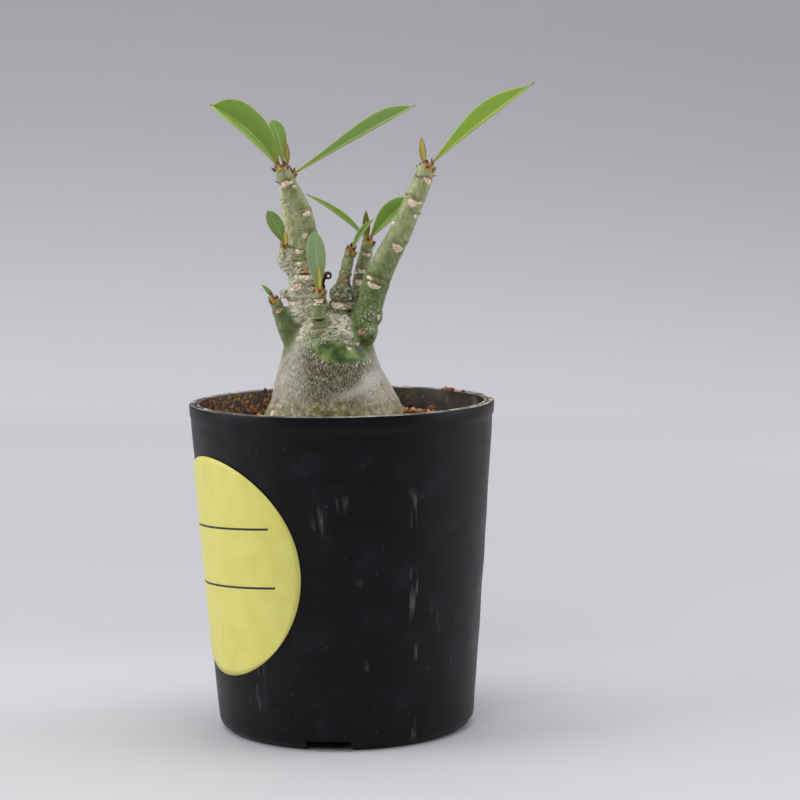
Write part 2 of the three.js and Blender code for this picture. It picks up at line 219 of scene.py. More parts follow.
sweep = bmesh.new()
front = [sweep.verts.new((side * SWEEP_WIDTH / 2, -SWEEP_FRONT, 0)) for side in (-1, 1)]
floor = bmesh.ops.extrude_edge_only(sweep, edges=[sweep.edges.new(front)])["geom"]
floor_end = parts_of(floor, bmesh.types.BMVert)
bmesh.ops.translate(sweep, vec=(0, SWEEP_FRONT + SWEEP_BACK, 0), verts=floor_end)
bent = bmesh.ops.spin(
    sweep, geom=parts_of(floor, bmesh.types.BMEdge), cent=(0, SWEEP_BACK, SWEEP_CURVE), axis=(1, 0, 0),
    angle=math.radians(90), steps=24,
)["geom_last"]
rise = bmesh.ops.extrude_edge_only(sweep, edges=parts_of(bent, bmesh.types.BMEdge))["geom"]
bmesh.ops.translate(sweep, vec=(0, 0, SWEEP_RISE), verts=parts_of(rise, bmesh.types.BMVert))
bmesh.ops.recalc_face_normals(sweep, faces=sweep.faces)
object_from(sweep, "backdrop", [backdrop_paper()])
print("backdrop reaches", SWEEP_BACK + SWEEP_CURVE, "m back")


# %% Lights
AIM = Vector((0, 0, 0.12))


def soft_light(name, place, width, height, watts, mirrored=True):
    """A soft box aimed at the plant. With mirrored off it lights surfaces without showing in their gloss."""
    data = bpy.data.lights.new(name, "AREA")
    data.shape = "RECTANGLE"
    data.size = width
    data.size_y = height
    data.energy = watts
    lamp = bpy.data.objects.new(name, data)
    lamp.location = place
    lamp.rotation_euler = (AIM - Vector(place)).to_track_quat("-Z", "Y").to_euler()
    lamp.visible_glossy = mirrored
    scene.collection.objects.link(lamp)


soft_light("left box", (-1.05, -0.1, 0.55), 0.9, 0.9, 9)
soft_light("right box", (1.05, 0.0, 0.5), 0.9, 0.9, 7)
soft_light("overhead", (0, 0.15, 1.5), 1.8, 1.4, 17)
soft_light("front", (-0.35, -1.2, 0.95), 0.8, 0.6, 6, mirrored=False)

world = bpy.data.worlds.new("studio")
world.use_nodes = True
world.node_tree.nodes["Background"].inputs["Color"].default_value = colour("#dcdce2")
world.node_tree.nodes["Background"].inputs["Strength"].default_value = 0.16
scene.world = world

# %% [markdown]
# ## The pot
# The pot is injection-moulded polypropylene: a thin tapered wall with a beaded lip, faintly uneven where
# the mould let the wall shrink. A profile spun round the axis gives the wall, and level waves are added to
# it. The drainage channels and holes are cut from below by booleans, which is how the mould's core would
# leave them. Dust, wear and a lip that is lighter on its crest come from the materials.

# %% Pot measures and profile
low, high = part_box("pot")
RIM_RADIUS = (high[0] - low[0]) / 2
POT_HEIGHT = high[2]
FOOT_SHARE = 0.838
BASE_RADIUS = RIM_RADIUS * FOOT_SHARE
WALL = 1.4 * MM
FLOOR = 4 * MM
CORNER = 4 * MM
LIP_DEPTH = 4.0 * MM
LIP_WIDTH = 2.9 * MM
LIP_ROUND = 0.45 * MM
# The top of the lip in section: millimetres in from the rim, or out from the inner edge, and down.
LIP_OUTSIDE = [(1.5, 0.1), (1.8, 0.4)]
LIP_INSIDE = [(0.6, 0.35), (0.45, 0.05), (0.1, 0), (0, 0.5)]
SHRINK_WAVE = 0.26 * MM
CHANNEL_WIDTH = 13 * MM
CHANNEL_HEIGHT = 3 * MM
CHANNEL_START = 13 * MM
CHANNEL_TURN = math.radians(-90 - 8.5)
CHANNELS = 4
DRAIN_RADIUS = 4.5 * MM
DRAIN_CENTRE = 24 * MM


def wall_radius(height):
    """Outer radius of the tapered wall."""
    return BASE_RADIUS + (RIM_RADIUS - BASE_RADIUS) * height / POT_HEIGHT


def pot_profile():
    """(radius, height) points up the outside, over the lip and down the inside."""
    points = [(0, 0), (BASE_RADIUS - CORNER, 0)]
    for index in range(1, 7):
        turn = math.radians(90 * index / 6)
        height = CORNER * (1 - math.cos(turn))
        points.append((wall_radius(height) - CORNER * (1 - math.sin(turn)), height))
    rows, top = 44, POT_HEIGHT - LIP_DEPTH
    for index in range(1, rows + 1):
        share = index / rows
        height = CORNER + (top - CORNER) * share
        points.append((wall_radius(height) - 0.15 * MM * share ** 6, height))
    points += [(RIM_RADIUS - 0.2 * MM, top + 0.3 * MM), (RIM_RADIUS - 0.08 * MM, top + 0.9 * MM)]
    for index in range(5):
        turn = math.radians(90 * index / 4)
        points.append((
            RIM_RADIUS - LIP_ROUND * (1 - math.cos(turn)), POT_HEIGHT - LIP_ROUND * (1 - math.sin(turn)),
        ))
    inner = RIM_RADIUS - LIP_WIDTH
    points += [(RIM_RADIUS - reach * MM, POT_HEIGHT - drop * MM) for reach, drop in LIP_OUTSIDE]
    points += [(inner + reach * MM, POT_HEIGHT - drop * MM) for reach, drop in LIP_INSIDE]
    points.append((wall_radius(top) - WALL - 0.2 * MM, top - 0.8 * MM))
    for share in (0.66, 0.33):
        points.append((wall_radius(top * share) - WALL, top * share))
    points.append((wall_radius(FLOOR + 3 * MM) - WALL, FLOOR + 3 * MM))
    return points + [(BASE_RADIUS - WALL - 3 * MM, FLOOR), (0, FLOOR)]


print("pot rim radius", round(RIM_RADIUS / MM, 1), "mm, height", round(POT_HEIGHT / MM, 1), "mm")


# %% Pot plastic
def black_polypropylene():
    """Moulded black polypropylene: satin and nearly black, with faint dust, upright scuffs and specks."""
    material, tree = new_material("moulded black polypropylene")
    place = add_node(tree, "TexCoord").outputs["Object"]
    dust = add_node(tree, "TexNoise", {"Vector": place, "Scale": 1 / (9 * MM), "Detail": 6})
    upright = add_node(tree, "Mapping", {"Vector": place, "Scale": (1, 1, 0.13)})
    scuff = add_node(tree, "TexNoise", {"Vector": upright, "Scale": 1 / (1.7 * MM), "Detail": 3})
    region = add_node(tree, "TexNoise", {"Vector": place, "Scale": 1 / (17 * MM), "Detail": 2})
    across = add_node(tree, "SeparateXYZ", {"Vector": place}).outputs["X"]
    rubbed = add_node(tree, "Math", {0: across, 1: 19.5 * MM, 2: 1.2 * MM}, operation="COMPARE")
    trail = add_node(tree, "Math", {0: rubbed, 1: 0.2, 2: region}, operation="MULTIPLY_ADD")
    speck = add_node(tree, "TexNoise", {"Vector": place, "Scale": 1 / (0.8 * MM), "Detail": 1})
    base = add_node(tree, "ValToRGB", {"Fac": dust}, stops=[
        (0.38, "#050508"), (0.55, "#0a090e"), (0.7, "#16151c"),
    ])
    scuffed = add_node(tree, "MapRange", {"Value": scuff, "From Min": 0.5, "From Max": 0.7, "To Max": 0.42})
    somewhere = add_node(tree, "MapRange", {"Value": trail, "From Min": 0.66, "From Max": 0.78})
    scuff_mask = add_node(tree, "Math", {0: scuffed, 1: somewhere}, operation="MULTIPLY")
    marked = add_node(tree, "Mix", {"Factor": scuff_mask, "A": base, "B": "#8a888c"}, data_type="RGBA")
    speck_mask = add_node(tree, "MapRange", {
        "Value": speck, "From Min": 0.76, "From Max": 0.8, "To Max": 0.25,
    })
    spotted = add_node(tree, "Mix", {"Factor": speck_mask, "A": marked, "B": "#8d8982"}, data_type="RGBA")
    rough = add_node(tree, "MapRange", {
        "Value": dust, "From Min": 0.3, "From Max": 0.7, "To Min": 0.36, "To Max": 0.47,
    })
    level = add_node(tree, "Mapping", {"Vector": place, "Scale": (0.14, 0.14, 1)})
    rings = add_node(tree, "TexNoise", {"Vector": level, "Scale": 1 / (6 * MM), "Detail": 3})
    bump = add_node(tree, "Bump", {"Height": rings, "Distance": 0.5 * MM, "Strength": 0.6})
    shader = add_node(tree, "BsdfPrincipled", {
        "Base Color": spotted, "Roughness": rough, "IOR": 1.49, "Specular IOR Level": 0.2, "Normal": bump,
    })
    add_node(tree, "OutputMaterial", {"Surface": shader})
    return material


def splashed_polypropylene():
    """The inside of the same plastic: dull, with dried mix splashed on it, more of it on the left."""
    material, tree = new_material("polypropylene with dried mix")
    place = add_node(tree, "TexCoord").outputs["Object"]
    splash = add_node(tree, "TexNoise", {
        "Vector": place, "Scale": 1 / (3 * MM), "Detail": 8, "Roughness": 0.7,
    })
    across = add_node(tree, "SeparateXYZ", {"Vector": place}).outputs["X"]
    lean = add_node(tree, "Math", {0: across, 1: -3.2, 2: splash}, operation="MULTIPLY_ADD")
    mask = add_node(tree, "MapRange", {"Value": lean, "From Min": 0.48, "From Max": 0.62, "To Max": 0.85})
    crumbs = add_node(tree, "TexNoise", {"Vector": place, "Scale": 1 / (1.1 * MM), "Detail": 3})
    soil = add_node(tree, "ValToRGB", {"Fac": crumbs}, stops=[
        (0.36, "#2a2018"), (0.46, "#5a4632"), (0.54, "#8f6b42"), (0.64, "#b98f5e"),
    ])
    haze = add_node(tree, "TexNoise", {"Vector": place, "Scale": 1 / (8 * MM), "Detail": 4})
    wall = add_node(tree, "ValToRGB", {"Fac": haze}, stops=[
        (0.35, "#2e2d2c"), (0.55, "#48453d"), (0.7, "#716b59"),
    ])
    tone = add_node(tree, "Mix", {"Factor": mask, "A": wall, "B": soil}, data_type="RGBA")
    bump = add_node(tree, "Bump", {"Height": splash, "Distance": 0.2 * MM, "Strength": 0.6})
    shader = add_node(tree, "BsdfPrincipled", {
        "Base Color": tone, "Roughness": 0.6, "IOR": 1.49, "Specular IOR Level": 0.3, "Normal": bump,
    })
    add_node(tree, "OutputMaterial", {"Surface": shader})
    return material


def worn_lip():
    """The same plastic on top of the lip, mottled grey to beige with dust and wear, lighter on its crest and
    a little towards the right.
    """
    material, tree = new_material("worn polypropylene lip")
    place = add_node(tree, "TexCoord").outputs["Object"]
    wear = add_node(tree, "TexNoise", {
        "Vector": place, "Scale": 1 / (5 * MM), "Detail": 7, "Roughness": 0.65,
    })
    parts = add_node(tree, "SeparateXYZ", {"Vector": place})
    # The lip's tone is made lighter on its crest and a little lighter towards +X.
    raised = add_node(tree, "MapRange", {
        "Value": parts.outputs["Z"], "From Min": POT_HEIGHT - LIP_ROUND, "From Max": POT_HEIGHT,
        "To Min": -0.12, "To Max": 0.22,
    })
    lighter_on_crest_and_right = add_node(tree, "Math", {0: parts.outputs["X"], 1: 0.8, 2: raised}, operation="MULTIPLY_ADD")
    amount = add_node(tree, "Math", {0: wear, 1: lighter_on_crest_and_right}, operation="ADD")
    tone = add_node(tree, "ValToRGB", {"Fac": amount}, stops=[
        (0.34, "#2b2b2d"), (0.56, "#48484a"), (0.68, "#7e7973"), (0.84, "#cfc2b1"),
    ])
    shader = add_node(tree, "BsdfPrincipled", {
        "Base Color": tone, "Roughness": 0.6, "IOR": 1.49, "Specular IOR Level": 0.3,
    })
    add_node(tree, "OutputMaterial", {"Surface": shader})
    return material


POT_FINISHES = [black_polypropylene(), splashed_polypropylene(), worn_lip()]
print("pot finishes:", [finish.name for finish in POT_FINISHES])


# %% Spin the pot and cut its underside
def spun(profile, steps):
    """A closed solid of revolution about +Z from (radius, height) points that start and end on the axis."""
    bm = bmesh.new()
    points = [bm.verts.new((radius, 0, height)) for radius, height in profile]
    line = [bm.edges.new(pair) for pair in zip(points, points[1:])]
    bmesh.ops.spin(
        bm, geom=points + line, cent=(0, 0, 0), axis=(0, 0, 1), angle=math.tau, steps=steps, use_merge=True,
    )
    bmesh.ops.remove_doubles(bm, verts=bm.verts, dist=0.001 * MM)
    bmesh.ops.recalc_face_normals(bm, faces=bm.faces)
    return bm


def underside_cutters():
    """Four channels that run out through the foot, then the four drain holes up through the floor."""
    channels, drains = bmesh.new(), bmesh.new()
    length = BASE_RADIUS - 8 * MM
    for index in range(CHANNELS):
        turn = Matrix.Rotation(CHANNEL_TURN + math.tau * index / CHANNELS, 4, "Z")
        size = Matrix.Diagonal((length, CHANNEL_WIDTH, 2 * CHANNEL_HEIGHT, 1))
        bmesh.ops.create_cube(
            channels, size=1, matrix=turn @ Matrix.Translation((CHANNEL_START + length / 2, 0, 0)) @ size,
        )
        bmesh.ops.create_cone(
            drains, cap_ends=True, segments=32, radius1=DRAIN_RADIUS, radius2=DRAIN_RADIUS, depth=3 * FLOOR,
            matrix=turn @ Matrix.Translation((DRAIN_CENTRE, 0, 0)),
        )
    return [object_from(channels, "channel cutter"), object_from(drains, "drain cutter")]


pot_bm = spun(pot_profile(), 192)
# Level waves, where the wall shrank in the mould.
for vert in pot_bm.verts:
    radius = math.hypot(vert.co.x, vert.co.y)
    if radius > BASE_RADIUS - CORNER and CORNER < vert.co.z < POT_HEIGHT - LIP_DEPTH:
        wave = noise.noise(Vector((vert.co.x * 9, vert.co.y * 9, vert.co.z * 95)))
        push = 1 + SHRINK_WAVE * wave / radius
        vert.co.x *= push
        vert.co.y *= push
# The finishes are the outside, 0, the inside, 1, and the top of the lip, 2.
for face in pot_bm.faces:
    centre = face.calc_center_median()
    outward = Vector((centre.x, centre.y, 0)).normalized()
    if centre.z > POT_HEIGHT - 0.5 * MM and outward.dot(centre) < RIM_RADIUS - LIP_ROUND / 2:
        face.material_index = 2
    elif face.normal.dot(outward) < -0.2 and centre.z > FLOOR:
        face.material_index = 1
pot = piece_from(pot_bm, "nursery_pot", POT_FINISHES, ["pot"])
for cutter in underside_cutters():
    cut = pot.modifiers.new(cutter.name, "BOOLEAN")
    cut.operation = "DIFFERENCE"
    cut.solver = "EXACT"
    cut.object = cutter
    bake_modifiers(pot)
    bpy.data.objects.remove(cutter)
print("pot faces:", len(pot.data.polygons))

# %% [markdown]
# ## The label
# A round vinyl label is flat until it is pressed on the tapered wall, so a flat disc is made first and
# then wrapped: what was its width becomes an angle round the pot. It is plain yellow, with two thin rules.

# %% Wrap the label
LABEL_RADIUS = 32 * MM
LABEL_THICKNESS = 0.18 * MM
LABEL_STAND_OFF = 0.28 * MM
LABEL_TURN = math.radians(-90 - 61.3)
LABEL_TILT = math.radians(-4.2)
# The rules, as shares of the label's radius.
RULE_LEVEL = 0.266
RULES_MIDDLE = 0.09
RULE_REACH = 0.74
RULE_HALF_WIDTH = 0.01
label_low, label_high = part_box("round_label")
LABEL_HEIGHT = (label_low[2] + label_high[2]) / 2


def yellow_vinyl():
    """Matt yellow vinyl film: an even soft sheen, printed with two thin black rules."""
    material, tree = new_material("printed yellow vinyl")
    face = add_node(tree, "UVMap", uv_map="face")
    level = add_node(tree, "Mapping", {"Vector": face, "Rotation": (0, 0, LABEL_TILT)})
    parts = add_node(tree, "SeparateXYZ", {"Vector": level})
    raised = add_node(tree, "Math", {0: parts.outputs["Y"], 1: RULES_MIDDLE}, operation="SUBTRACT")
    up = add_node(tree, "Math", {0: raised}, operation="ABSOLUTE")
    thin = add_node(tree, "Math", {0: up, 1: RULE_LEVEL, 2: RULE_HALF_WIDTH}, operation="COMPARE")
    across = add_node(tree, "Math", {0: parts.outputs["X"]}, operation="ABSOLUTE")
    short = add_node(tree, "Math", {0: across, 1: RULE_REACH}, operation="LESS_THAN")
    rule = add_node(tree, "Math", {0: thin, 1: short}, operation="MULTIPLY")
    place = add_node(tree, "TexCoord").outputs["Object"]
    cloud = add_node(tree, "TexNoise", {"Vector": place, "Scale": 1 / (6 * MM), "Detail": 2})
    film = add_node(tree, "ValToRGB", {"Fac": cloud}, stops=[(0.3, "#d3cc6b"), (0.7, "#dad476")])
    tone = add_node(tree, "Mix", {"Factor": rule, "A": film, "B": "#2b2a28"}, data_type="RGBA")
    shader = add_node(tree, "BsdfPrincipled", {
        "Base Color": tone, "Roughness": 0.45, "Specular IOR Level": 0.3,
    })
    add_node(tree, "OutputMaterial", {"Surface": shader})
    return material


label_bm = bmesh.new()
bmesh.ops.create_grid(label_bm, x_segments=36, y_segments=36, size=LABEL_RADIUS)
# The square grid is drawn in to a disc, mapped while it is flat, and then wrapped.
for vert in label_bm.verts:
    u, v = vert.co.x / LABEL_RADIUS, vert.co.y / LABEL_RADIUS
    vert.co.x = LABEL_RADIUS * u * math.sqrt(1 - v * v / 2)
    vert.co.y = LABEL_RADIUS * v * math.sqrt(1 - u * u / 2)
uv = label_bm.loops.layers.uv.new("face")
for face in label_bm.faces:
    for loop in face.loops:
        loop[uv].uv = (loop.vert.co.x / LABEL_RADIUS, loop.vert.co.y / LABEL_RADIUS)
for vert in label_bm.verts:
    turn = LABEL_TURN + vert.co.x / wall_radius(LABEL_HEIGHT)
    height = LABEL_HEIGHT + vert.co.y
    radius = wall_radius(height) + LABEL_STAND_OFF
    vert.co = Vector((radius * math.cos(turn), radius * math.sin(turn), height))
label = piece_from(label_bm, "plain_label", [yellow_vinyl()], ["round_label"])
thick = label.modifiers.new("thickness", "SOLIDIFY")
thick.thickness = LABEL_THICKNESS
thick.offset = 1
print("label diameter", LABEL_RADIUS * 2 / MM, "mm")

# %% [markdown]
# ## The woody plant
# Trunk, head and branches grew as one skin, so they are modelled as one. The trunk is spun, each branch is
# a disc extruded ring by ring along its route, and the lumps are spheres. A voxel remesh melts them
# together like wet clay, smoothing softens the joins, and small moves of the vertices give the wrinkles.

# %% Routes and rings in millimetres
TRUNK_RINGS = [
    # height, radius, centre in X
    (84, 18.2, -2), (90, 20.4, -2), (94, 20.2, -2), (98, 18.5, -2.1), (102, 17.1, -2.9), (106, 15.3, -3.4),
    (110, 14.1, -3.6), (114, 13.0, -3.6), (118, 11.4, -3.2), (121, 8.4, -3), (123, 4, -3),
]
TRUNK_DEPTH = 0.92

# green runs from 0, grey cork, to 1, fresh green; pale is how far a green skin is bleached.
STEMS = {
    "old_trunk": dict(
        route=[(-8.6, 0.5, 112), (-9.4, 0.5, 121), (-10, 0.3, 129), (-10.2, 0, 137), (-10.2, -0.4, 144)],
        radii=[6.6, 6.2, 5.5, 4.5, 3.5], green=0.2, pale=0.6),
    "right_branch": dict(
        route=[(3.4, -3.4, 113), (6.6, -4.6, 120), (8.6, -5, 126), (10.2, -5, 130.8), (13.3, -5, 138),
               (17.4, -5, 145.3), (21, -5, 153.4), (24.7, -5, 161.8), (25.4, -5, 164.6)],
        radii=[5.4, 4.5, 4.2, 4.0, 3.7, 3.4, 3.2, 3.0, 2.7], green=1.0, pale=0.05),
    "left_front_branch": dict(
        route=[(-10.3, -0.8, 140), (-9.4, -1, 146), (-10.5, -1, 152), (-13, -1, 157.5), (-15.5, -1, 162.6),
               (-16.3, -1, 165.4)],
        radii=[3.6, 3.2, 2.9, 2.8, 2.6, 2.3], green=0.97, pale=0.34),
    "left_rear_branch": dict(
        route=[(-11.5, 2.6, 135), (-13, 4.4, 141), (-13.9, 5.2, 147), (-15.2, 5.8, 155), (-15, 5.8, 160),
               (-14.4, 5.8, 163.4)],
        radii=[3.2, 2.8, 2.5, 2.2, 2, 1.8], green=0.85, pale=0.9),
    "mid_front_shoot": dict(
        route=[(-0.2, -2, 120), (0, -2.8, 127), (0.9, -3, 131.5), (1.9, -3, 135.6), (2.9, -3, 140.2)],
        radii=[3.6, 3.2, 2.1, 1.85, 1.7], green=0.9, pale=0.3),
    "mid_rear_shoot": dict(
        route=[(5.0, 5, 120), (5.8, 6, 130), (6.4, 6, 135), (7.8, 6, 139.6), (8.4, 6, 142.8)],
        radii=[3.6, 2.6, 2.2, 2.1, 1.9], green=0.9, pale=0.3),
    "front_shoot": dict(
        route=[(-6.0, -6.4, 116), (-6.3, -9.8, 122), (-6, -10.6, 125.6), (-6, -10.6, 128.8)],
        radii=[3.0, 2.3, 2.0, 2.1], green=0.92, pale=0.3),
    "left_low_shoot": dict(
        route=[(-12.6, -2.6, 112), (-15.6, -3.8, 118.4), (-17.4, -4, 122.6), (-18.9, -4, 126.6)],
        radii=[3.4, 3.0, 2.4, 1.8], green=0.92, pale=0.05),
    "left_knob_shoot": dict(
        route=[(-12.4, -1, 134.8), (-16.2, -1, 138.6), (-15.8, -1, 142)],
        radii=[2.8, 2.4, 1.5], green=0.4, pale=0.5),
}

LUMPS = [
    # centre, then radii
    ((-2.4, -0.8, 115.6), (11.4, 11.4, 8.6)),
    ((6.0, -4.2, 118.4), (5.0, 5.4, 6.4)),
    ((-1.2, -6.6, 119.0), (6.4, 4.2, 4.0)),
    ((0.5, -3.4, 128.4), (3.7, 3.4, 3.6)),
    ((2.2, -5.6, 125.2), (1.7, 1.6, 1.0)),
    ((-16.2, -1, 128.6), (1.8, 1.8, 1.5)),
    ((11.0, -5.4, 122.2), (1.5, 1.7, 2.6)),
    ((-13.5, 0, 139.6), (3.4, 3.6, 2.8)),
    ((-11.8, -4.2, 130.6), (2.6, 2.0, 2.4)),
    ((-6.2, -2.2, 133), (2.0, 2.0, 2.2)),
    ((-13.4, -3, 122.4), (3.4, 3.4, 3.4)),
    ((5.2, 5, 123.5), (4.2, 4.2, 4.2)),
    ((-4, 6, 122), (5.4, 5, 4.4)),
    ((-6.4, -8.2, 118.6), (3.8, 3.4, 3.0)),
    ((-21.2, 1.5, 92.6), (1.9, 2.6, 2.4)),
]
print("stems:", len(STEMS), "lumps:", len(LUMPS))


# %% Curves through a route
def spline_points(route, count):
    """Evenly spaced points in metres on a smooth curve through a route in millimetres."""
    knots = [Vector(point) * MM for point in route]
    ends = [knots[0] * 2 - knots[1]] + knots + [knots[-1] * 2 - knots[-2]]
    dense = []
    for index in range(len(knots) - 1):
        a, b, c, d = ends[index:index + 4]
        for step in range(24):
            t = step / 24
            dense.append(0.5 * (2 * b + (c - a) * t + (2 * a - 5 * b + 4 * c - d) * t * t
                                + (3 * b - a - 3 * c + d) * t ** 3))
    dense = np.array([tuple(point) for point in dense + [knots[-1]]])
    lengths = np.concatenate(([0], np.cumsum(np.linalg.norm(np.diff(dense, axis=0), axis=1))))
    targets = np.linspace(0, lengths[-1], count)
    columns = [np.interp(targets, lengths, dense[:, axis]) for axis in range(3)]
    return [Vector(point) for point in np.stack(columns, 1)]


def value_along(values, share):
    """Reads a list of evenly spaced values at a share of its length."""
    return float(np.interp(share, np.linspace(0, 1, len(values)), values))


def ring_matrix(point, direction, radius):
    """Places a unit ring at a point, square to a direction."""
    turn = Vector((0, 0, 1)).rotation_difference(direction).to_matrix().to_4x4()
    return Matrix.Translation(point) @ turn @ Matrix.Diagonal((radius, radius, radius, 1))


def extrude_stem(bm, route, radii, sides=20, rings=16):
    """A capped bar: one disc extruded from ring to ring, with a rounded tip."""
    points = spline_points(route, rings)
    shape = ring_matrix(points[0], points[1] - points[0], radii[0] * MM)
    disc = bmesh.ops.create_circle(bm, cap_ends=True, segments=sides, radius=1, matrix=shape)
    face = disc["verts"][0].link_faces[0]
    steps = []
    for index in range(1, rings):
        ahead = points[min(index + 1, rings - 1)] - points[index - 1]
        steps.append(ring_matrix(points[index], ahead, value_along(radii, index / (rings - 1)) * MM))
    for lift, size in ((0.3, 0.85), (0.45, 0.5)):
        smaller = Matrix.Diagonal((size, size, size, 1))
        steps.append(steps[rings - 2] @ Matrix.Translation((0, 0, lift)) @ smaller)
    for target in steps:
        grown = bmesh.ops.extrude_face_region(bm, geom=[face])["geom"]
        rim = parts_of(grown, bmesh.types.BMVert)
        bmesh.ops.transform(bm, matrix=target @ shape.inverted(), verts=rim)
        face = parts_of(grown, bmesh.types.BMFace)[0]
        shape = target


print("a branch is", len(spline_points(STEMS["right_branch"]["route"], 16)), "rings long")

# %% Melt trunk, stems and lumps together
MELT_SIZE = 0.42 * MM
SMOOTH_PASSES = 6

wood = bmesh.new()
trunk_profile = [(0, TRUNK_RINGS[0][0] * MM)]
trunk_profile += [(radius * MM, height * MM) for height, radius, _ in TRUNK_RINGS]
trunk_profile.append((0, (TRUNK_RINGS[-1][0] + 0.6) * MM))
trunk_bm = spun(trunk_profile, 64)
ring_heights = [height for height, _, _ in TRUNK_RINGS]
ring_centres = [centre for _, _, centre in TRUNK_RINGS]
for vert in trunk_bm.verts:
    vert.co.x += MM * float(np.interp(vert.co.z / MM, ring_heights, ring_centres))
    vert.co.y *= TRUNK_DEPTH
add_mesh_of(wood, trunk_bm)
for stem in STEMS.values():
    extrude_stem(wood, stem["route"], stem["radii"])
for centre, radii in LUMPS:
    shape = Matrix.Translation(Vector(centre) * MM) @ Matrix.Diagonal((*[r * MM for r in radii], 1))
    bmesh.ops.create_icosphere(wood, subdivisions=3, radius=1, matrix=shape)
bmesh.ops.recalc_face_normals(wood, faces=wood.faces)
woody = piece_from(
    wood, "woody_plant", [], ["caudex"] + [name for name in STEMS if name != "old_trunk"],
)
melt = woody.modifiers.new("melt", "REMESH")
melt.mode = "VOXEL"
melt.voxel_size = MELT_SIZE
bake_modifiers(woody)
soft = bmesh.new()
soft.from_mesh(woody.data)
for _ in range(SMOOTH_PASSES):
    bmesh.ops.smooth_vert(
        soft, verts=soft.verts, factor=0.5, use_axis_x=True, use_axis_y=True, use_axis_z=True,
    )
soft.to_mesh(woody.data)
soft.free()
print("woody plant after the melt:", len(woody.data.polygons), "faces")

# %% [markdown]
# ## Where the skin is green, grey, scarred or ringed
# Every vertex finds its nearest stem and how far along it lies. From that come the facts that both the
# relief and the colours need: green where the wood is young, silver bloom on the old skin with painted edge
# light on the trunk's sides, a painted sheen band and painted shade low on its front, a ring at each old
# leaf joint, and below it the half-moon scar of the leaf. Each fact is stored as an attribute.


# %% Measure every vertex against the stems
def vertex_values(mesh, name):
    """Positions or normals of all vertices, as rows of three."""
    values = np.empty(len(mesh.vertices) * 3)
    mesh.vertices.foreach_get(name, values)
    return values.reshape(-1, 3)


def smoothstep(value, start, stop):
    """Rises smoothly from 0 at start to 1 at stop."""
    share = np.clip((value - start) / (stop - start), 0, 1)
    return share * share * (3 - 2 * share)


def hump(value, width):
    """A soft bell: 1 where the value is 0, and falling away to both sides."""
    return np.exp(-(value / width) ** 2)


places = vertex_values(woody.data, "co") / MM
normals = vertex_values(woody.data, "normal")
SAMPLES = 60
stem_names = list(STEMS)
stem_points = {name: np.array(spline_points(STEMS[name]["route"], SAMPLES)) / MM for name in stem_names}
stem_gap = {}
nearest_gap = np.full(len(places), 1e9)
nearest_stem = np.zeros(len(places), int)
along = np.zeros(len(places))
for number, name in enumerate(stem_names):
    points = stem_points[name]
    step = np.linalg.norm(points[1] - points[0])
    gap = np.full(len(places), 1e9)
    for index, point in enumerate(points):
        radius = value_along(STEMS[name]["radii"], index / (SAMPLES - 1))
        away = np.linalg.norm(places - point, axis=1) - radius
        closer = away < gap
        gap = np.where(closer, away, gap)
        best = away < nearest_gap
        nearest_gap = np.where(best, away, nearest_gap)
        nearest_stem = np.where(best, number, nearest_stem)
        along = np.where(best, index * step, along)
    stem_gap[name] = gap
rough_noise = np.array([noise.noise(Vector(place) / 2.6) for place in places])
broad_noise = np.array([noise.noise(Vector(place) / 7 + Vector((9, 4, 2))) for place in places])
print("vertices measured:", len(places))


# %% Green, silver, painted light, mossy and corky regions
def nearest_is(name):
    """Which vertices lie nearest to a stem."""
    return nearest_stem == stem_names.index(name)


x, y, z = places.T
green = np.zeros(len(places))
pale = np.zeros(len(places))
for name, stem in STEMS.items():
    near = 1 - smoothstep(stem_gap[name] - 0.9 * rough_noise, 0.1, 2.0)
    pale = np.where(near * stem["green"] > green, stem["pale"], pale)
    green = np.maximum(green, stem["green"] * near)
pale = pale + nearest_is("right_branch") * 0.58 * smoothstep(z, 124, 160)
pale = pale + nearest_is("left_rear_branch") * 0.15
head = smoothstep(z + 2.2 * rough_noise, 112.5, 117.0) * (1 - 0.75 * green)
knob = hump(np.linalg.norm(places - (0.4, -3.4, 127.8), axis=1) / 4.6, 1) * (z < 132.5)

# Painted edge light: the trunk is painted darker on its front, towards the camera, and on its back, and
# lighter on its sides, as the side lamps would light it. silver is the real silver bloom together with this
# painted edge light.
around = np.degrees(np.arctan2(x + 3.2, -y))
painted_shade_front = hump(around + 4 + 26 * broad_noise, 42)
painted_shade_back = 0.8 * hump(np.abs(around) - 165, 40)
silver = 1 - np.maximum(painted_shade_front, painted_shade_back)
# Painted shade under the mossy patch, where the head overhangs the trunk's front.
painted_shade_under_patch = hump(z - 107.5, 3.4) * hump(x - 2, 10) * smoothstep(-y, 2, 8)
# waxy is a painted sheen: a pale band rising to the right across the lower front of the trunk, a reflection
# of the lamps on the waxy skin painted into the colour.
waxy = hump(z - (101.2 + 0.42 * (x - 3) + 1.6 * broad_noise), 1.7)
waxy = waxy * smoothstep(x, -7, 3) * smoothstep(-y, 2, 8)
silver = np.clip(silver + 0.9 * waxy - 0.9 * painted_shade_under_patch, -0.6, 1)
foot = 1 - smoothstep(z + 2.5 * rough_noise, 96.5, 99.5)

facing_front = smoothstep(-y, 4, 10)
hollow = 1.2 - np.hypot((x - 0.6) / 10.4, (z - (111.9 - 0.12 * (x - 1))) / 3.4)
collar = 1.1 - np.hypot((x - 8.0) / 4.4, (z - 114.2) / 5.0)
patch = np.clip(np.maximum(hollow, collar) * 1.9 + 0.5 * rough_noise, 0, 1) * facing_front
yellow_green = hump(np.hypot((x + 2.8) / 6.5, (z - 115.6) / 3.0), 1) * facing_front
fleck = np.maximum(0.55 * head, hump(np.hypot((x - 9.2) / 6.4, (z - 121) / 7.5), 1) * facing_front)
fleck = np.maximum(fleck, hump(hollow - 0.25, 0.3) * facing_front)
print("greenest:", round(float(green.max()), 2), "mossy vertices:", int((patch > 0.5).sum()))

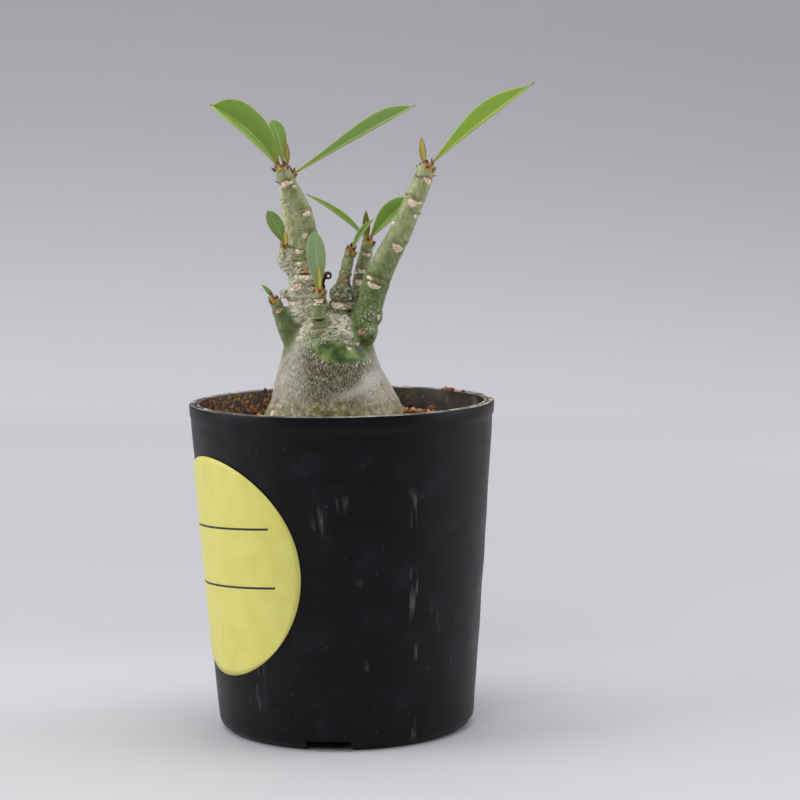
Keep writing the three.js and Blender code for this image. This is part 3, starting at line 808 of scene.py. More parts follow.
# %% Rings at the leaf joints and half-moon leaf scars
RINGS = {
    # for each stem, the height of a ring and the depth of its groove
    "right_branch": [(161.9, 0.12), (156.8, 0.2), (143.1, 0.14), (133.2, 0.28)],
    "left_front_branch": [(161.6, 0.2), (153.2, 0.22), (147.0, 0.26)],
    "left_rear_branch": [(155.8, 0.26)],
    "mid_front_shoot": [(139.2, 0.12), (135.4, 0.2), (133.4, 0.28), (126.0, 0.45)],
    "mid_rear_shoot": [(140.4, 0.15), (135.0, 0.24)],
    "front_shoot": [(127.2, 0.2)],
    "left_low_shoot": [(124.6, 0.2)],
    "old_trunk": [(127.0, 0.3), (130.8, 0.34), (134.2, 0.4), (138.2, 0.34), (141.4, 0.4)],
}

SCARS = {
    # for each side of the plant, a scar's x and height, its width and height, and how brown it is
    "front": [
        (26.6, 161.0, 4.8, 2.0, 0.35), (21.3, 155.6, 4.4, 3.2, 0.2), (15.4, 149.8, 2.6, 1.6, 0.05),
        (22.6, 150.8, 2.2, 1.8, 0.2), (17.6, 142.0, 4.8, 3.2, 0.4), (9.4, 131.6, 6.4, 2.0, 0.25),
        (5.9, 117.2, 3.8, 1.8, 0.85), (11.6, 121.6, 2.2, 2.8, 0.5), (-16.0, 160.8, 3.6, 2.6, 0.4),
        (-12.2, 160.4, 2.0, 1.4, 0.6), (-8.9, 152.5, 3.6, 1.9, 0.05), (-10.2, 146.2, 3.0, 2.0, 0.4),
        (-15.9, 155.0, 2.0, 1.8, 0.4), (-13.8, 151.0, 1.0, 1.8, 0.0), (-10.5, 136.2, 4.6, 2.0, 0.95),
        (-12.9, 131.3, 3.4, 3.2, 0.5), (-12.3, 141.7, 4.0, 1.6, 0.3), (-16.9, 140.5, 1.8, 2.0, 0.5),
        (-16.3, 128.4, 1.8, 1.8, 0.55), (-6.0, 127.9, 4.4, 1.5, 0.15), (1.3, 134.8, 2.8, 1.1, 0.9),
        (0.9, 132.9, 3.2, 1.3, 1.0), (-1.4, 129.6, 1.8, 1.6, 0.8), (2.2, 125.4, 3.6, 1.8, 0.6),
        (6.3, 134.5, 3.4, 1.5, 0.3), (5.1, 131.9, 3.4, 2.6, 0.0), (8.6, 140.1, 3.2, 1.4, 0.6),
        (-17.6, 124.4, 3.4, 1.2, 0.7), (5.4, 114.3, 1.9, 1.3, 0.3), (2.9, 113.5, 2.3, 1.3, 0.25),
        (1.9, 115.0, 1.8, 1.2, 0.1), (12.6, 101.6, 1.8, 2.4, 0.9), (-20.9, 94.6, 3.4, 3.4, 0.1),
        (-9.0, 120.6, 2.4, 1.2, 0.4), (-6.4, 118.6, 4.6, 1.3, 0.7),
    ],
    "back": [
        (23.4, 158.6, 4.2, 2.8, 0.3), (19.2, 148.0, 4.4, 3.0, 0.2), (12.2, 136.4, 4.4, 2.8, 0.4),
        (-13.6, 158.2, 3.6, 2.4, 0.3), (-14.6, 151.8, 3.4, 2.2, 0.2), (-10.6, 132.6, 4.2, 2.4, 0.6),
        (-5.0, 121.0, 3.6, 2.2, 0.7), (3.6, 117.0, 3.2, 2.0, 0.5), (6.6, 132.4, 3.2, 1.8, 0.4),
    ],
}

PITS = [
    # x, height, width, height and depth of a dark hollow
    (-6.6, 120.9, 3.6, 1.2, 0.6), (4.2, 128.8, 1.5, 3.6, 0.9), (-3.9, 126.4, 1.6, 1.6, 0.5),
    (9.6, 115.6, 0.9, 0.9, 0.5), (-10.6, 134.9, 3.4, 0.7, 0.4),
]
print("scars:", {side: len(scars) for side, scars in SCARS.items()}, "pits:", len(PITS))


# %% Places on the skin
def anchor(at_x, at_z, side="front"):
    """The vertex on that side of the plant nearest to a place in the front view."""
    away = np.hypot(places[:, 0] - at_x, places[:, 2] - at_z)
    depth = places[:, 1] if side == "front" else -places[:, 1]
    return int(np.argmin(np.where(away < 0.7, depth, 1e6 + away)))


def local_frame(vertex):
    """Along the stem, outwards, and across, at a vertex."""
    points = stem_points[stem_names[nearest_stem[vertex]]]
    index = int(np.argmin(np.linalg.norm(points - places[vertex], axis=1)))
    ahead = points[min(index + 1, SAMPLES - 1)] - points[max(index - 1, 0)]
    ahead /= np.linalg.norm(ahead)
    out = normals[vertex] - ahead * normals[vertex].dot(ahead)
    out /= np.linalg.norm(out)
    return ahead, out, np.cross(ahead, out)


print("the first scar sits at", places[anchor(*SCARS["front"][0][:2])].round(1))

# %% Press the rings
scar, warm, line, pit = (np.zeros(len(places)) for _ in range(4))
shift = np.zeros(len(places))
for name, rings in RINGS.items():
    points = stem_points[name]
    step = np.linalg.norm(points[1] - points[0])
    mine = nearest_is(name) * (nearest_gap < 1.4)
    wobble = 0.9 if name == "old_trunk" else 0.35
    for height, depth in rings:
        level = float(np.interp(height, points[:, 2], np.arange(SAMPLES) * step))
        offset = along - level + wobble * rough_noise
        shift += mine * depth * (0.8 * hump(offset + 0.8, 0.7) - hump(offset, 0.34))
        line = np.maximum(line, mine * 0.55 * hump(offset, 0.3))
        lip = mine * hump(offset + 0.8, 0.6) * np.clip(0.35 + 1.6 * rough_noise, 0, 1) * (depth / 0.3)
        scar = np.maximum(scar, np.clip(lip, 0, 0.8))
print("rings:", sum(len(rings) for rings in RINGS.values()))

# %% Stamp the scars and hollow the pits
# On a scar u runs across it and v runs up it. Its top edge is nearly level, and its foot is round.
for side, scars in SCARS.items():
    for at_x, at_z, width, height, brown in scars:
        vertex = anchor(at_x, at_z, side)
        ahead, out, across = local_frame(vertex)
        away = places - places[vertex]
        u = away @ across / (width * 0.37)
        v = away @ ahead / (height / 2)
        close = np.abs(away @ out) < 2.2
        top = 0.5 - 0.12 * u * u
        inside = np.minimum(top - v, v + 1 - 1.3 * u * u)
        mask = smoothstep(inside, -0.12, 0.22) * close
        warm = np.where(mask > scar, brown, warm)
        scar = np.maximum(scar, mask)
        edge = hump((v - top - 0.1) * height / 2, 0.28) * (np.abs(u) < 1.2)
        line = np.maximum(line, close * edge * 0.8)
        shift += close * 0.3 * hump((v + 0.5) * height / 2, 1.2) * hump(u, 1.1)
for at_x, at_z, width, height, depth in PITS:
    vertex = anchor(at_x, at_z)
    ahead, out, across = local_frame(vertex)
    away = places - places[vertex]
    reach = np.hypot(away @ across / (width / 2), away @ ahead / (height / 2)) + 0.5 * rough_noise
    hole = (1 - smoothstep(reach, 0.5, 1.15)) * (np.abs(away @ out) < 2.4)
    shift += depth * (0.35 * hump(reach - 1.3, 0.3) * (np.abs(away @ out) < 2.4) - hole)
    pit = np.maximum(pit, hole)
print("scarred vertices:", int((scar > 0.5).sum()), "pitted vertices:", int((pit > 0.5).sum()))

# %% Small relief on the skin
old_cork = 0.4 * (stem_gap["old_trunk"] < 0.6) * (z > 118)
rough = np.clip(np.maximum(head, 0.05 + old_cork) + 1.1 * knob, 0, 1.3)
for index, (px, py, pz) in enumerate(places):
    lumpy = noise.noise(Vector((px, py, pz * 1.4)) / 2.9)
    wrinkle = noise.noise(Vector((px, py, pz * 2.2)) / 1.05)
    crack = abs(noise.noise(Vector((px + 9, py, pz * 1.6)) / 1.6))
    shift[index] += rough[index] * (0.44 * lumpy + 0.26 * wrinkle - 0.42 * max(0, 0.18 - crack) / 0.18)
    shift[index] += foot[index] * 0.22 * lumpy
woody.data.vertices.foreach_set("co", ((places + normals * shift[:, None]) * MM).ravel())
woody.data.update()
FACTS = {
    "green": green, "pale": pale, "head": head, "silver": silver, "waxy": waxy, "foot": foot, "patch": patch,
    "yellow_green": yellow_green, "fleck": fleck, "knob": knob, "scar": scar, "warm": warm, "line": line,
    "pit": pit, "along": along,
}
for name, values in FACTS.items():
    layer = woody.data.attributes.new(name, "FLOAT", "POINT")
    layer.data.foreach_set("value", values.astype(np.float32))
print("facts stored on the skin:", ", ".join(FACTS))

# %% [markdown]
# ## Bark, green skin and scars
# One skin covers the plant, so one material carries it from silver-grey bark to fresh green. It reads the
# stored facts and mixes the tones between them, with a fine net of upright cracks on the swollen base,
# which is stretched skin, a faint mottle on the green wood, and white flecks where the skin has split.
# The silver is partly painted edge light on the trunk's sides, and a painted sheen band and painted shade
# below the mossy patch are mixed into the colour as well.


# %% Patterns of the skin
def skin_patterns(tree, place):
    """Noise at the sizes that show on the skin: its net, its grain, its blotches and its corky ridges."""
    upright = add_node(tree, "Mapping", {"Vector": place, "Scale": (1, 1, 0.2)})
    level = add_node(tree, "Mapping", {"Vector": place, "Scale": (1, 1, 1.8)})
    return {
        "net": add_node(tree, "TexNoise", {
            "Vector": upright, "Scale": 1 / (0.32 * MM), "Detail": 2, "Roughness": 0.5, "Distortion": 0.6,
        }),
        "fine": add_node(tree, "TexNoise", {"Vector": place, "Scale": 1 / (0.5 * MM), "Detail": 2}),
        "blotch": add_node(tree, "TexNoise", {"Vector": place, "Scale": 1 / (4.5 * MM), "Detail": 4}),
        "ridge": add_node(tree, "TexNoise", {
            "Vector": level, "Scale": 1 / (1.7 * MM), "Detail": 4, "Roughness": 0.6, "Distortion": 0.8,
        }),
    }


def bloom_and_painted_light(tree, fact, pattern):
    """How much of the silver bloom shows, with its painted edge light, painted sheen and painted shade, and a
    broken edge.
    """
    broken = add_node(tree, "Math", {0: pattern["blotch"], 1: 0.9, 2: -0.45}, operation="MULTIPLY_ADD")
    return add_node(tree, "Math", {0: fact["silver"], 1: broken}, operation="ADD", use_clamp=True)


print("skin patterns ready")


# %% Old grey skin: netted trunk, soiled foot and corky head
def old_skin(tree, place, fact, pattern, bloomed):
    """Bare stretched skin, silver bloom with painted edge light, a painted sheen band, a soiled foot and
    corky ridges on the head.
    """
    stretched = add_node(tree, "ValToRGB", {"Fac": pattern["net"]}, stops=[
        (0.36, "#3a3822"), (0.48, "#524f37"), (0.56, "#7a755c"), (0.66, "#a49e87"),
    ])
    # The paler tone is the silver bloom and, on the trunk's sides, painted edge light.
    bloom_and_edge_light_tone = add_node(tree, "ValToRGB", {"Fac": pattern["net"]}, stops=[
        (0.34, "#857f6e"), (0.5, "#a8a192"), (0.66, "#c3bcaf"),
    ])
    base = add_node(tree, "Mix", {"Factor": bloomed, "A": stretched, "B": bloom_and_edge_light_tone}, data_type="RGBA")
    # Painted sheen: where the waxy fact is high the colour is mixed towards a pale grey reflection.
    painted_sheen_amount = add_node(tree, "Math", {0: fact["waxy"], 1: 0.45}, operation="MULTIPLY")
    with_painted_sheen = add_node(tree, "Mix", {"Factor": painted_sheen_amount, "A": base, "B": "#b9b4ad"}, data_type="RGBA")

    grit = add_node(tree, "TexNoise", {
        "Vector": place, "Scale": 1 / (1.9 * MM), "Detail": 5, "Roughness": 0.75,
    })
    soiled = add_node(tree, "ValToRGB", {"Fac": grit}, stops=[
        (0.36, "#3f3d1c"), (0.46, "#6c6a38"), (0.53, "#8c8158"), (0.6, "#b5a585"), (0.68, "#d8cfb9"),
    ])
    foot_amount = add_node(tree, "Math", {0: fact["foot"], 1: 0.8}, operation="MULTIPLY")
    footed = add_node(tree, "Mix", {"Factor": foot_amount, "A": with_painted_sheen, "B": soiled}, data_type="RGBA")

    cork = add_node(tree, "ValToRGB", {"Fac": pattern["ridge"]}, stops=[
        (0.32, "#3f4426"), (0.4, "#8c8f6c"), (0.48, "#bab9a1"), (0.56, "#d8d3c2"), (0.66, "#e8e3d5"),
    ])
    return add_node(tree, "Mix", {"Factor": fact["head"], "A": footed, "B": cork}, data_type="RGBA")


print("old skin ready")


# %% Green skin: young stems, the dark knob and the mossy patch
def green_skin(tree, place, fact, pattern, grey):
    """Green over the grey, with a faint mottle: 1.1 mm across a stem and 2 mm along it."""
    parts = add_node(tree, "SeparateXYZ", {"Vector": place})
    turn_x = add_node(tree, "Math", {0: parts.outputs["X"], 1: 0.9 / MM}, operation="MULTIPLY")
    turn_y = add_node(tree, "Math", {0: parts.outputs["Y"], 1: 0.9 / MM}, operation="MULTIPLY")
    upward = add_node(tree, "Math", {0: fact["along"], 1: 0.5}, operation="MULTIPLY")
    crosswise = add_node(tree, "CombineXYZ", {"X": turn_x, "Y": turn_y, "Z": upward})
    drawn_out = add_node(tree, "TexNoise", {"Vector": crosswise, "Scale": 1.0, "Detail": 2})
    deep = add_node(tree, "ValToRGB", {"Fac": drawn_out}, stops=[
        (0.3, "#42561f"), (0.52, "#566a2e"), (0.74, "#788650"),
    ])
    light = add_node(tree, "ValToRGB", {"Fac": drawn_out}, stops=[
        (0.3, "#9fa66c"), (0.52, "#b3b583"), (0.74, "#c9c79d"),
    ])
    uneven = add_node(tree, "Math", {0: pattern["blotch"], 1: 0.4, 2: -0.18}, operation="MULTIPLY_ADD")
    bleached = add_node(tree, "Math", {0: fact["pale"], 1: uneven}, operation="ADD", use_clamp=True)
    leafy = add_node(tree, "Mix", {"Factor": bleached, "A": deep, "B": light}, data_type="RGBA")
    greened = add_node(tree, "Mix", {"Factor": fact["green"], "A": grey, "B": leafy}, data_type="RGBA")

    knob = add_node(tree, "ValToRGB", {"Fac": pattern["ridge"]}, stops=[
        (0.36, "#262a14"), (0.48, "#4a5429"), (0.56, "#7c8159"), (0.62, "#cfc9b4"),
    ])
    knobbed = add_node(tree, "Mix", {"Factor": fact["knob"], "A": greened, "B": knob}, data_type="RGBA")
    fresh_amount = add_node(tree, "Math", {0: fact["yellow_green"], 1: 0.55}, operation="MULTIPLY")
    fresh = add_node(tree, "Mix", {"Factor": fresh_amount, "A": knobbed, "B": "#7a8c4c"}, data_type="RGBA")

    moss_edge = add_node(tree, "Math", {0: fact["patch"], 1: pattern["ragged"]}, operation="ADD")
    moss_amount = add_node(tree, "MapRange", {
        "Value": moss_edge, "From Min": 0.25, "From Max": 0.8, "To Max": 0.88,
    })
    moss = add_node(tree, "ValToRGB", {"Fac": pattern["blotch"]}, stops=[
        (0.38, "#2b4512"), (0.5, "#48691f"), (0.62, "#869a54"),
    ])
    return add_node(tree, "Mix", {"Factor": moss_amount, "A": fresh, "B": moss}, data_type="RGBA")


print("green skin ready")


# %% Marks: split flecks, ring lines, scars and pits
def marked_skin(tree, place, fact, pattern, bare):
    """White split flecks, brown ring lines, cream to brown scars and dark pits, over the bare skin."""
    dot = add_node(tree, "TexNoise", {"Vector": place, "Scale": 1 / (0.55 * MM), "Detail": 2})
    edge = add_node(tree, "MapRange", {
        "Value": fact["fleck"], "From Min": 0.0, "From Max": 1.0, "To Min": 0.74, "To Max": 0.545,
    })
    over = add_node(tree, "Math", {0: dot, 1: edge}, operation="SUBTRACT")
    dots = add_node(tree, "MapRange", {"Value": over, "From Min": 0.0, "From Max": 0.05, "To Max": 0.7})
    flecked = add_node(tree, "Mix", {"Factor": dots, "A": bare, "B": "#d9d5c8"}, data_type="RGBA")
    lined = add_node(tree, "Mix", {"Factor": fact["line"], "A": flecked, "B": "#4b3a26"}, data_type="RGBA")

    scar_edge = add_node(tree, "Math", {
        0: pattern["ragged"], 1: 0.5, 2: fact["scar"],
    }, operation="MULTIPLY_ADD")
    scar_mask = add_node(tree, "MapRange", {"Value": scar_edge, "From Min": 0.38, "From Max": 0.56})
    callus = add_node(tree, "ValToRGB", {"Fac": pattern["fine"]}, stops=[
        (0.38, "#cdb294"), (0.5, "#e9d6be"), (0.62, "#f8eddd"),
    ])
    brown = add_node(tree, "ValToRGB", {"Fac": pattern["fine"]}, stops=[
        (0.38, "#7d4a2a"), (0.55, "#a9744c"), (0.68, "#c9a37c"),
    ])
    scar_tone = add_node(tree, "Mix", {"Factor": fact["warm"], "A": callus, "B": brown}, data_type="RGBA")
    scarred = add_node(tree, "Mix", {"Factor": scar_mask, "A": lined, "B": scar_tone}, data_type="RGBA")
    return add_node(tree, "Mix", {"Factor": fact["pit"], "A": scarred, "B": "#4a2414"}, data_type="RGBA")


print("marks ready")


# %% The whole skin
def desert_rose_bark():
    """Living bark with a waxy bloom: soft sheen, a netted grey base, green young wood and pale flecks."""
    material, tree = new_material("desert rose bark")
    place = add_node(tree, "TexCoord").outputs["Object"]
    fact = {name: add_node(tree, "Attribute", attribute_name=name).outputs["Fac"] for name in FACTS}
    pattern = skin_patterns(tree, place)
    pattern["ragged"] = add_node(tree, "Math", {
        0: pattern["fine"], 1: 0.9, 2: -0.45,
    }, operation="MULTIPLY_ADD")
    bloomed = bloom_and_painted_light(tree, fact, pattern)
    grey = old_skin(tree, place, fact, pattern, bloomed)
    green_and_grey = green_skin(tree, place, fact, pattern, grey)
    tone = marked_skin(tree, place, fact, pattern, green_and_grey)
    rough = add_node(tree, "MapRange", {
        "Value": bloomed, "From Min": 0.0, "From Max": 1.0, "To Min": 0.62, "To Max": 0.46,
    })
    relief = add_node(tree, "Math", {0: pattern["fine"], 1: 0.6, 2: pattern["net"]}, operation="MULTIPLY_ADD")
    bump = add_node(tree, "Bump", {"Height": relief, "Distance": 0.16 * MM, "Strength": 0.5})
    shader = add_node(tree, "BsdfPrincipled", {
        "Base Color": tone, "Roughness": rough, "Normal": bump,
        "Sheen Weight": 0.3, "Sheen Roughness": 0.4, "Sheen Tint": (0.9, 0.92, 0.8, 1),
    })
    add_node(tree, "OutputMaterial", {"Surface": shader})
    return material


woody.data.materials.append(desert_rose_bark())
print("bark finish:", woody.data.materials[0].name)

# %% [markdown]
# ## Leaves
# A desert rose leaf is thick, smooth and folded along a pale midrib, broadest past its middle. A grid is
# shaped by the same rule for every leaf: a width that swells and closes, a fold that lifts both halves,
# and a route for the midrib. Solidify gives the blade its thickness, with a duller underside.

# %% Leaf routes in millimetres
# fold is how far each half lifts in degrees, facing is where the upper side looks, belly is where the
# blade is widest, a small swell broadens its foot, and tip runs from 1, pointed, to 2, round. age deepens
# the green and wax greys it. The route runs from the foot, by a point that bends it, to the tip.
LEAVES = {
    "left_top_leaf": dict(
        route=[(-17.6, -1, 166.2), (-24.6, -2.4, 176.8), (-36.9, -4, 184.3)],
        width=14.8, fold=50, belly=0.7, swell=0.8, tip=1.6, facing=(0.38, -0.82, 0.43),
        kind="leaf", age=0.35),
    "left_back_leaf": dict(
        route=[(-16.1, 1.2, 166.9), (-16.7, 2.2, 175), (-19.4, 3.6, 179.6)],
        width=5.6, fold=15, belly=0.68, tip=1.8, facing=(0.2, -0.9, 0.2), kind="leaf", age=0.6, wax=0.1),
    "left_young_leaf": dict(
        route=[(-14.8, -1.8, 166.2), (-14.5, -2, 170.7), (-15.5, -2, 174.2)],
        width=1.9, fold=35, belly=0.4, facing=(0.3, -0.9, 0.1), kind="young_leaf", age=0.6),
    "rear_long_leaf": dict(
        route=[(-12.9, 6, 163.8), (9.4, 9.2, 175.8), (23.3, 13, 183.3)],
        width=9.0, fold=50, belly=0.7, tip=1.3, facing=(-0.4, -0.66, 0.62), kind="leaf", age=0.5, wax=0.2),
    "right_long_leaf": dict(
        route=[(27.2, -5, 166.2), (40.1, -5, 176.4), (57.6, -5, 189.4)],
        width=10.6, fold=50, belly=0.62, swell=1.45, tip=1.0, facing=(-0.5, -0.66, 0.56),
        kind="pale_leaf", age=0.05),
    "right_young_leaf": dict(
        route=[(25, -5.8, 165.6), (24.6, -6.2, 170.4), (24.3, -6, 174)],
        width=2.5, fold=35, belly=0.5, facing=(0, -1, 0.1), kind="young_leaf", age=0.2),
    "mid_slender_leaf": dict(
        route=[(8.0, 4.8, 144.4), (0.6, 2.4, 151.6), (-9.3, 0.2, 157.8)],
        width=3.8, fold=50, belly=0.5, facing=(0.45, -0.6, 0.65), kind="pale_leaf", age=0.3),
    "mid_broad_leaf": dict(
        route=[(9.2, 6.6, 144.4), (15.3, 9.4, 150.6), (21.8, 12, 156)],
        width=9.2, fold=50, belly=0.55, tip=1.7, facing=(-0.3, -0.85, 0.45), kind="leaf", age=0.6),
    "mid_bud_leaf": dict(
        route=[(8.3, 5, 144), (7.9, 4, 149), (8.1, 3.8, 152.6)],
        width=2.7, fold=30, belly=0.42, facing=(0, -1, 0.1), kind="young_leaf", age=1.0),
    "mid_folded_leaf": dict(
        route=[(3.6, -3.4, 141.4), (6.6, -4, 146.8), (10, -4, 150.3)],
        width=3.2, fold=50, belly=0.5, tip=1.2, facing=(-0.4, -0.8, 0.4),
        kind="pale_leaf", age=0.6, wax=0.15),
    "front_broad_leaf": dict(
        route=[(-6.2, -10.6, 130.2), (-6.6, -12.4, 139.5), (-7.2, -11.4, 147.6)],
        width=6.1, fold=14, belly=0.62, swell=1.1, tip=2, facing=(0.05, -1, 0.15),
        kind="pale_leaf", age=0.7, wax=0.5),
    "front_young_leaf": dict(
        route=[(-5.9, -11.8, 129.4), (-5.9, -13.2, 133.6), (-5.8, -13.4, 137.6)],
        width=1.8, fold=28, belly=0.4, facing=(0, -1, 0.1), kind="young_leaf", age=0),
    "knob_leaf": dict(
        route=[(-15.9, -1, 143), (-17.8, -1.5, 148.2), (-21, -1.4, 153.2)],
        width=5, fold=18, belly=0.66, tip=2, facing=(0.25, -0.95, 0.1), kind="leaf", age=0.75, wax=0.15),
    "knob_young_leaf": dict(
        route=[(-15.7, -1.8, 142.8), (-15.6, -2.7, 145.2), (-15.9, -2.7, 147.4)],
        width=2, fold=30, belly=0.4, facing=(0, -1, 0.1), kind="young_leaf", age=0.1),
    "low_leaf": dict(
        route=[(-19.2, -4, 127.4), (-21, -4, 129.8), (-22.8, -4, 131.6)],
        width=1.9, fold=25, belly=0.5, tip=1.3, facing=(0.5, -0.8, 0.3), kind="leaf", age=0.85, wax=0.1),
}
BLADE_THICKNESS = 0.5 * MM
print("leaves to grow:", len(LEAVES))


# %% Leaf finishes
def leaf_skin(name, young, old, waxy, rib, margin, margin_start, roughness):
    """One side of a living leaf: waxy and lightly mottled, with a pale midrib and a thin bright margin."""
    material, tree = new_material(name)
    place = add_node(tree, "TexCoord").outputs["Object"]
    parts = add_node(tree, "SeparateXYZ", {"Vector": add_node(tree, "UVMap", uv_map="blade")})
    along = parts.outputs["X"]
    offset = add_node(tree, "Math", {0: parts.outputs["Y"], 1: 0.5}, operation="SUBTRACT")
    side = add_node(tree, "Math", {0: offset}, operation="ABSOLUTE")
    mottle = add_node(tree, "TexNoise", {"Vector": place, "Scale": 1 / (2.4 * MM), "Detail": 4})
    age = add_node(tree, "Attribute", attribute_name="age").outputs["Fac"]
    uneven = add_node(tree, "Math", {0: mottle, 1: 0.5, 2: -0.25}, operation="MULTIPLY_ADD")
    aged = add_node(tree, "Math", {0: age, 1: uneven}, operation="ADD", use_clamp=True)
    blade = add_node(tree, "Mix", {"Factor": aged, "A": young, "B": old}, data_type="RGBA")
    wax = add_node(tree, "Attribute", attribute_name="wax").outputs["Fac"]
    bloomed = add_node(tree, "Mix", {"Factor": wax, "A": blade, "B": waxy}, data_type="RGBA")
    foot = add_node(tree, "MapRange", {
        "Value": along, "From Min": 0.02, "From Max": 0.2, "To Min": 0.85, "To Max": 0.0,
    })
    footed = add_node(tree, "Mix", {"Factor": foot, "A": bloomed, "B": "#a9a344"}, data_type="RGBA")
    narrow = add_node(tree, "MapRange", {
        "Value": side, "From Min": 0.01, "From Max": 0.045, "To Min": 1.0, "To Max": 0.0,
    })
    fading = add_node(tree, "MapRange", {
        "Value": along, "From Min": 0.5, "From Max": 0.95, "To Min": 0.85, "To Max": 0.1,
    })
    rib_amount = add_node(tree, "Math", {0: narrow, 1: fading}, operation="MULTIPLY")
    ribbed = add_node(tree, "Mix", {"Factor": rib_amount, "A": footed, "B": rib}, data_type="RGBA")
    edge = add_node(tree, "MapRange", {
        "Value": side, "From Min": margin_start, "From Max": 0.49, "To Max": 0.8,
    })
    edged = add_node(tree, "Mix", {"Factor": edge, "A": ribbed, "B": margin}, data_type="RGBA")
    point = add_node(tree, "MapRange", {"Value": along, "From Min": 0.965, "From Max": 0.99, "To Max": 0.9})
    pointed = add_node(tree, "Mix", {"Factor": point, "A": edged, "B": "#8f6a45"}, data_type="RGBA")
    veins = add_node(tree, "TexWave", {
        "Vector": add_node(tree, "UVMap", uv_map="blade"), "Scale": 5.0, "Distortion": 1.5, "Detail": 1.0,
    }, wave_type="BANDS", bands_direction="X")
    relief = add_node(tree, "Math", {0: veins.outputs["Fac"], 1: 0.25, 2: mottle}, operation="MULTIPLY_ADD")
    bump = add_node(tree, "Bump", {"Height": relief, "Distance": 0.1 * MM, "Strength": 0.35})
    shader = add_node(tree, "BsdfPrincipled", {
        "Base Color": pointed, "Roughness": roughness, "Specular IOR Level": 0.3, "Normal": bump,
        "Subsurface Weight": 0.08, "Subsurface Radius": (0.001, 0.002, 0.0004),
    })
    add_node(tree, "OutputMaterial", {"Surface": shader})
    return material


# name, young tone, old tone, wax, midrib, margin, where the margin starts, roughness
GROWN = [
    leaf_skin("waxy leaf face", "#9ab650", "#688a3e", "#9db296", "#b4c489", "#a6b25a", 0.472, 0.42),
    leaf_skin("dull leaf underside", "#a9bd74", "#86a05c", "#b3baa2", "#c0cc94", "#b0b860", 0.466, 0.55),
]
YOUNG = [
    leaf_skin("young leaf face", "#cfc65a", "#6f7428", "#b9b48a", "#e6e09a", "#7d4523", 0.3, 0.45),
    leaf_skin("young leaf underside", "#b99a40", "#6e6228", "#b9b48a", "#cdbb62", "#7d4523", 0.26, 0.5),
]
print("leaf finishes:", [finish.name for finish in GROWN + YOUNG])


# %% Grow the leaves
def blade_share(along, belly, swell, tip):
    """Half-width of a blade as a share of its widest. The last 4% is the thin spur at the tip."""
    along = min(along / 0.96, 1)
    if along < belly:
        return math.sin(math.pi / 2 * along / belly) ** swell
    return (1 - ((along - belly) / (1 - belly)) ** 2) ** (1 / tip)


def bezier(route, share):
    """The midrib's place at a share of its length, in metres."""
    first, middle, last = (Vector(point) * MM for point in route)
    return first * (1 - share) ** 2 + middle * 2 * share * (1 - share) + last * share ** 2


def grow_leaf(name, route, width, fold, belly, facing, kind, age, swell=1.3, tip=1.1, wax=0):
    """Grows one blade as a bent grid, with its age and its wax on the vertices."""
    bm = bmesh.new()
    bmesh.ops.create_grid(bm, x_segments=30, y_segments=8, size=1)
    uv = bm.loops.layers.uv.new("blade")
    for face in bm.faces:
        for loop in face.loops:
            loop[uv].uv = ((loop.vert.co.x + 1) / 2, (loop.vert.co.y + 1) / 2)
    age_layer = bm.verts.layers.float.new("age")
    wax_layer = bm.verts.layers.float.new("wax")
    lift = math.radians(fold)
    stalk = 0.4 if width > 4 else 0.3
    for vert in bm.verts:
        vert[age_layer], vert[wax_layer] = age, wax
        along, across = (vert.co.x + 1) / 2, vert.co.y
        tangent = (bezier(route, min(along + 0.01, 1)) - bezier(route, max(along - 0.01, 0))).normalized()
        up = Vector(facing)
        up = (up - tangent * tangent.dot(up)).normalized()
        side = up.cross(tangent)
        half = (stalk * (1 - 0.6 * along) + (width / 2 - stalk) * blade_share(along, belly, swell, tip)) * MM
        curve = math.sin(lift) * abs(across) ** 1.25 - 0.12 * across * across
        ripple = 0.035 * math.sin(along * 9 + across * 2) * abs(across)
        vert.co = bezier(route, along) + side * half * across * math.cos(lift) + up * half * (curve + ripple)
    leaf = piece_from(bm, name + "_blade", YOUNG if kind == "young_leaf" else GROWN, [name])
    thick = leaf.modifiers.new("thickness", "SOLIDIFY")
    thick.thickness = BLADE_THICKNESS * (1 if width > 4 else 0.8)
    thick.offset = 0
    thick.material_offset = 1
    smooth = leaf.modifiers.new("smooth", "SUBSURF")
    smooth.levels = 1
    smooth.render_levels = 1


for name, shape in LEAVES.items():
    grow_leaf(name, **shape)
print("leaves grown:", len(LEAVES))

# %% [markdown]
# ## Scales, spines and a dried curl
# Every shoot ends in short dry scales that hug its tip, tan at the foot and dark brown at the point, with
# a few stiff brown spines that lean out. One scale is a small grid bent round the tip. The spines are
# thin cones, and the same cones sit at the corners of some scars. A dried stalk curls beside the front shoot.


# %% Dry scale finish
def dry_scale():
    """Papery dead bract: dull, green-tan at its foot, rust brown above and nearly black at the tip."""
    material, tree = new_material("dry papery scale")
    parts = add_node(tree, "SeparateXYZ", {"Vector": add_node(tree, "UVMap", uv_map="blade")})
    place = add_node(tree, "TexCoord").outputs["Object"]
    grain = add_node(tree, "TexNoise", {"Vector": place, "Scale": 1 / (0.8 * MM), "Detail": 3})
    uneven = add_node(tree, "Math", {0: grain, 1: 0.8, 2: -0.4}, operation="MULTIPLY_ADD")
    along = add_node(tree, "Math", {0: parts.outputs["X"], 1: uneven}, operation="ADD")
    tone = add_node(tree, "ValToRGB", {"Fac": along}, stops=[
        (0.0, "#9d9a48"), (0.28, "#b5964a"), (0.52, "#a36a34"), (0.76, "#6a3519"), (1.0, "#2b120a"),
    ])
    bump = add_node(tree, "Bump", {"Height": grain, "Distance": 0.1 * MM, "Strength": 0.5})
    shader = add_node(tree, "BsdfPrincipled", {"Base Color": tone, "Roughness": 0.6, "Normal": bump})
    add_node(tree, "OutputMaterial", {"Surface": shader})
    return material


DRY_SCALE = dry_scale()
print("scale finish:", DRY_SCALE.name)

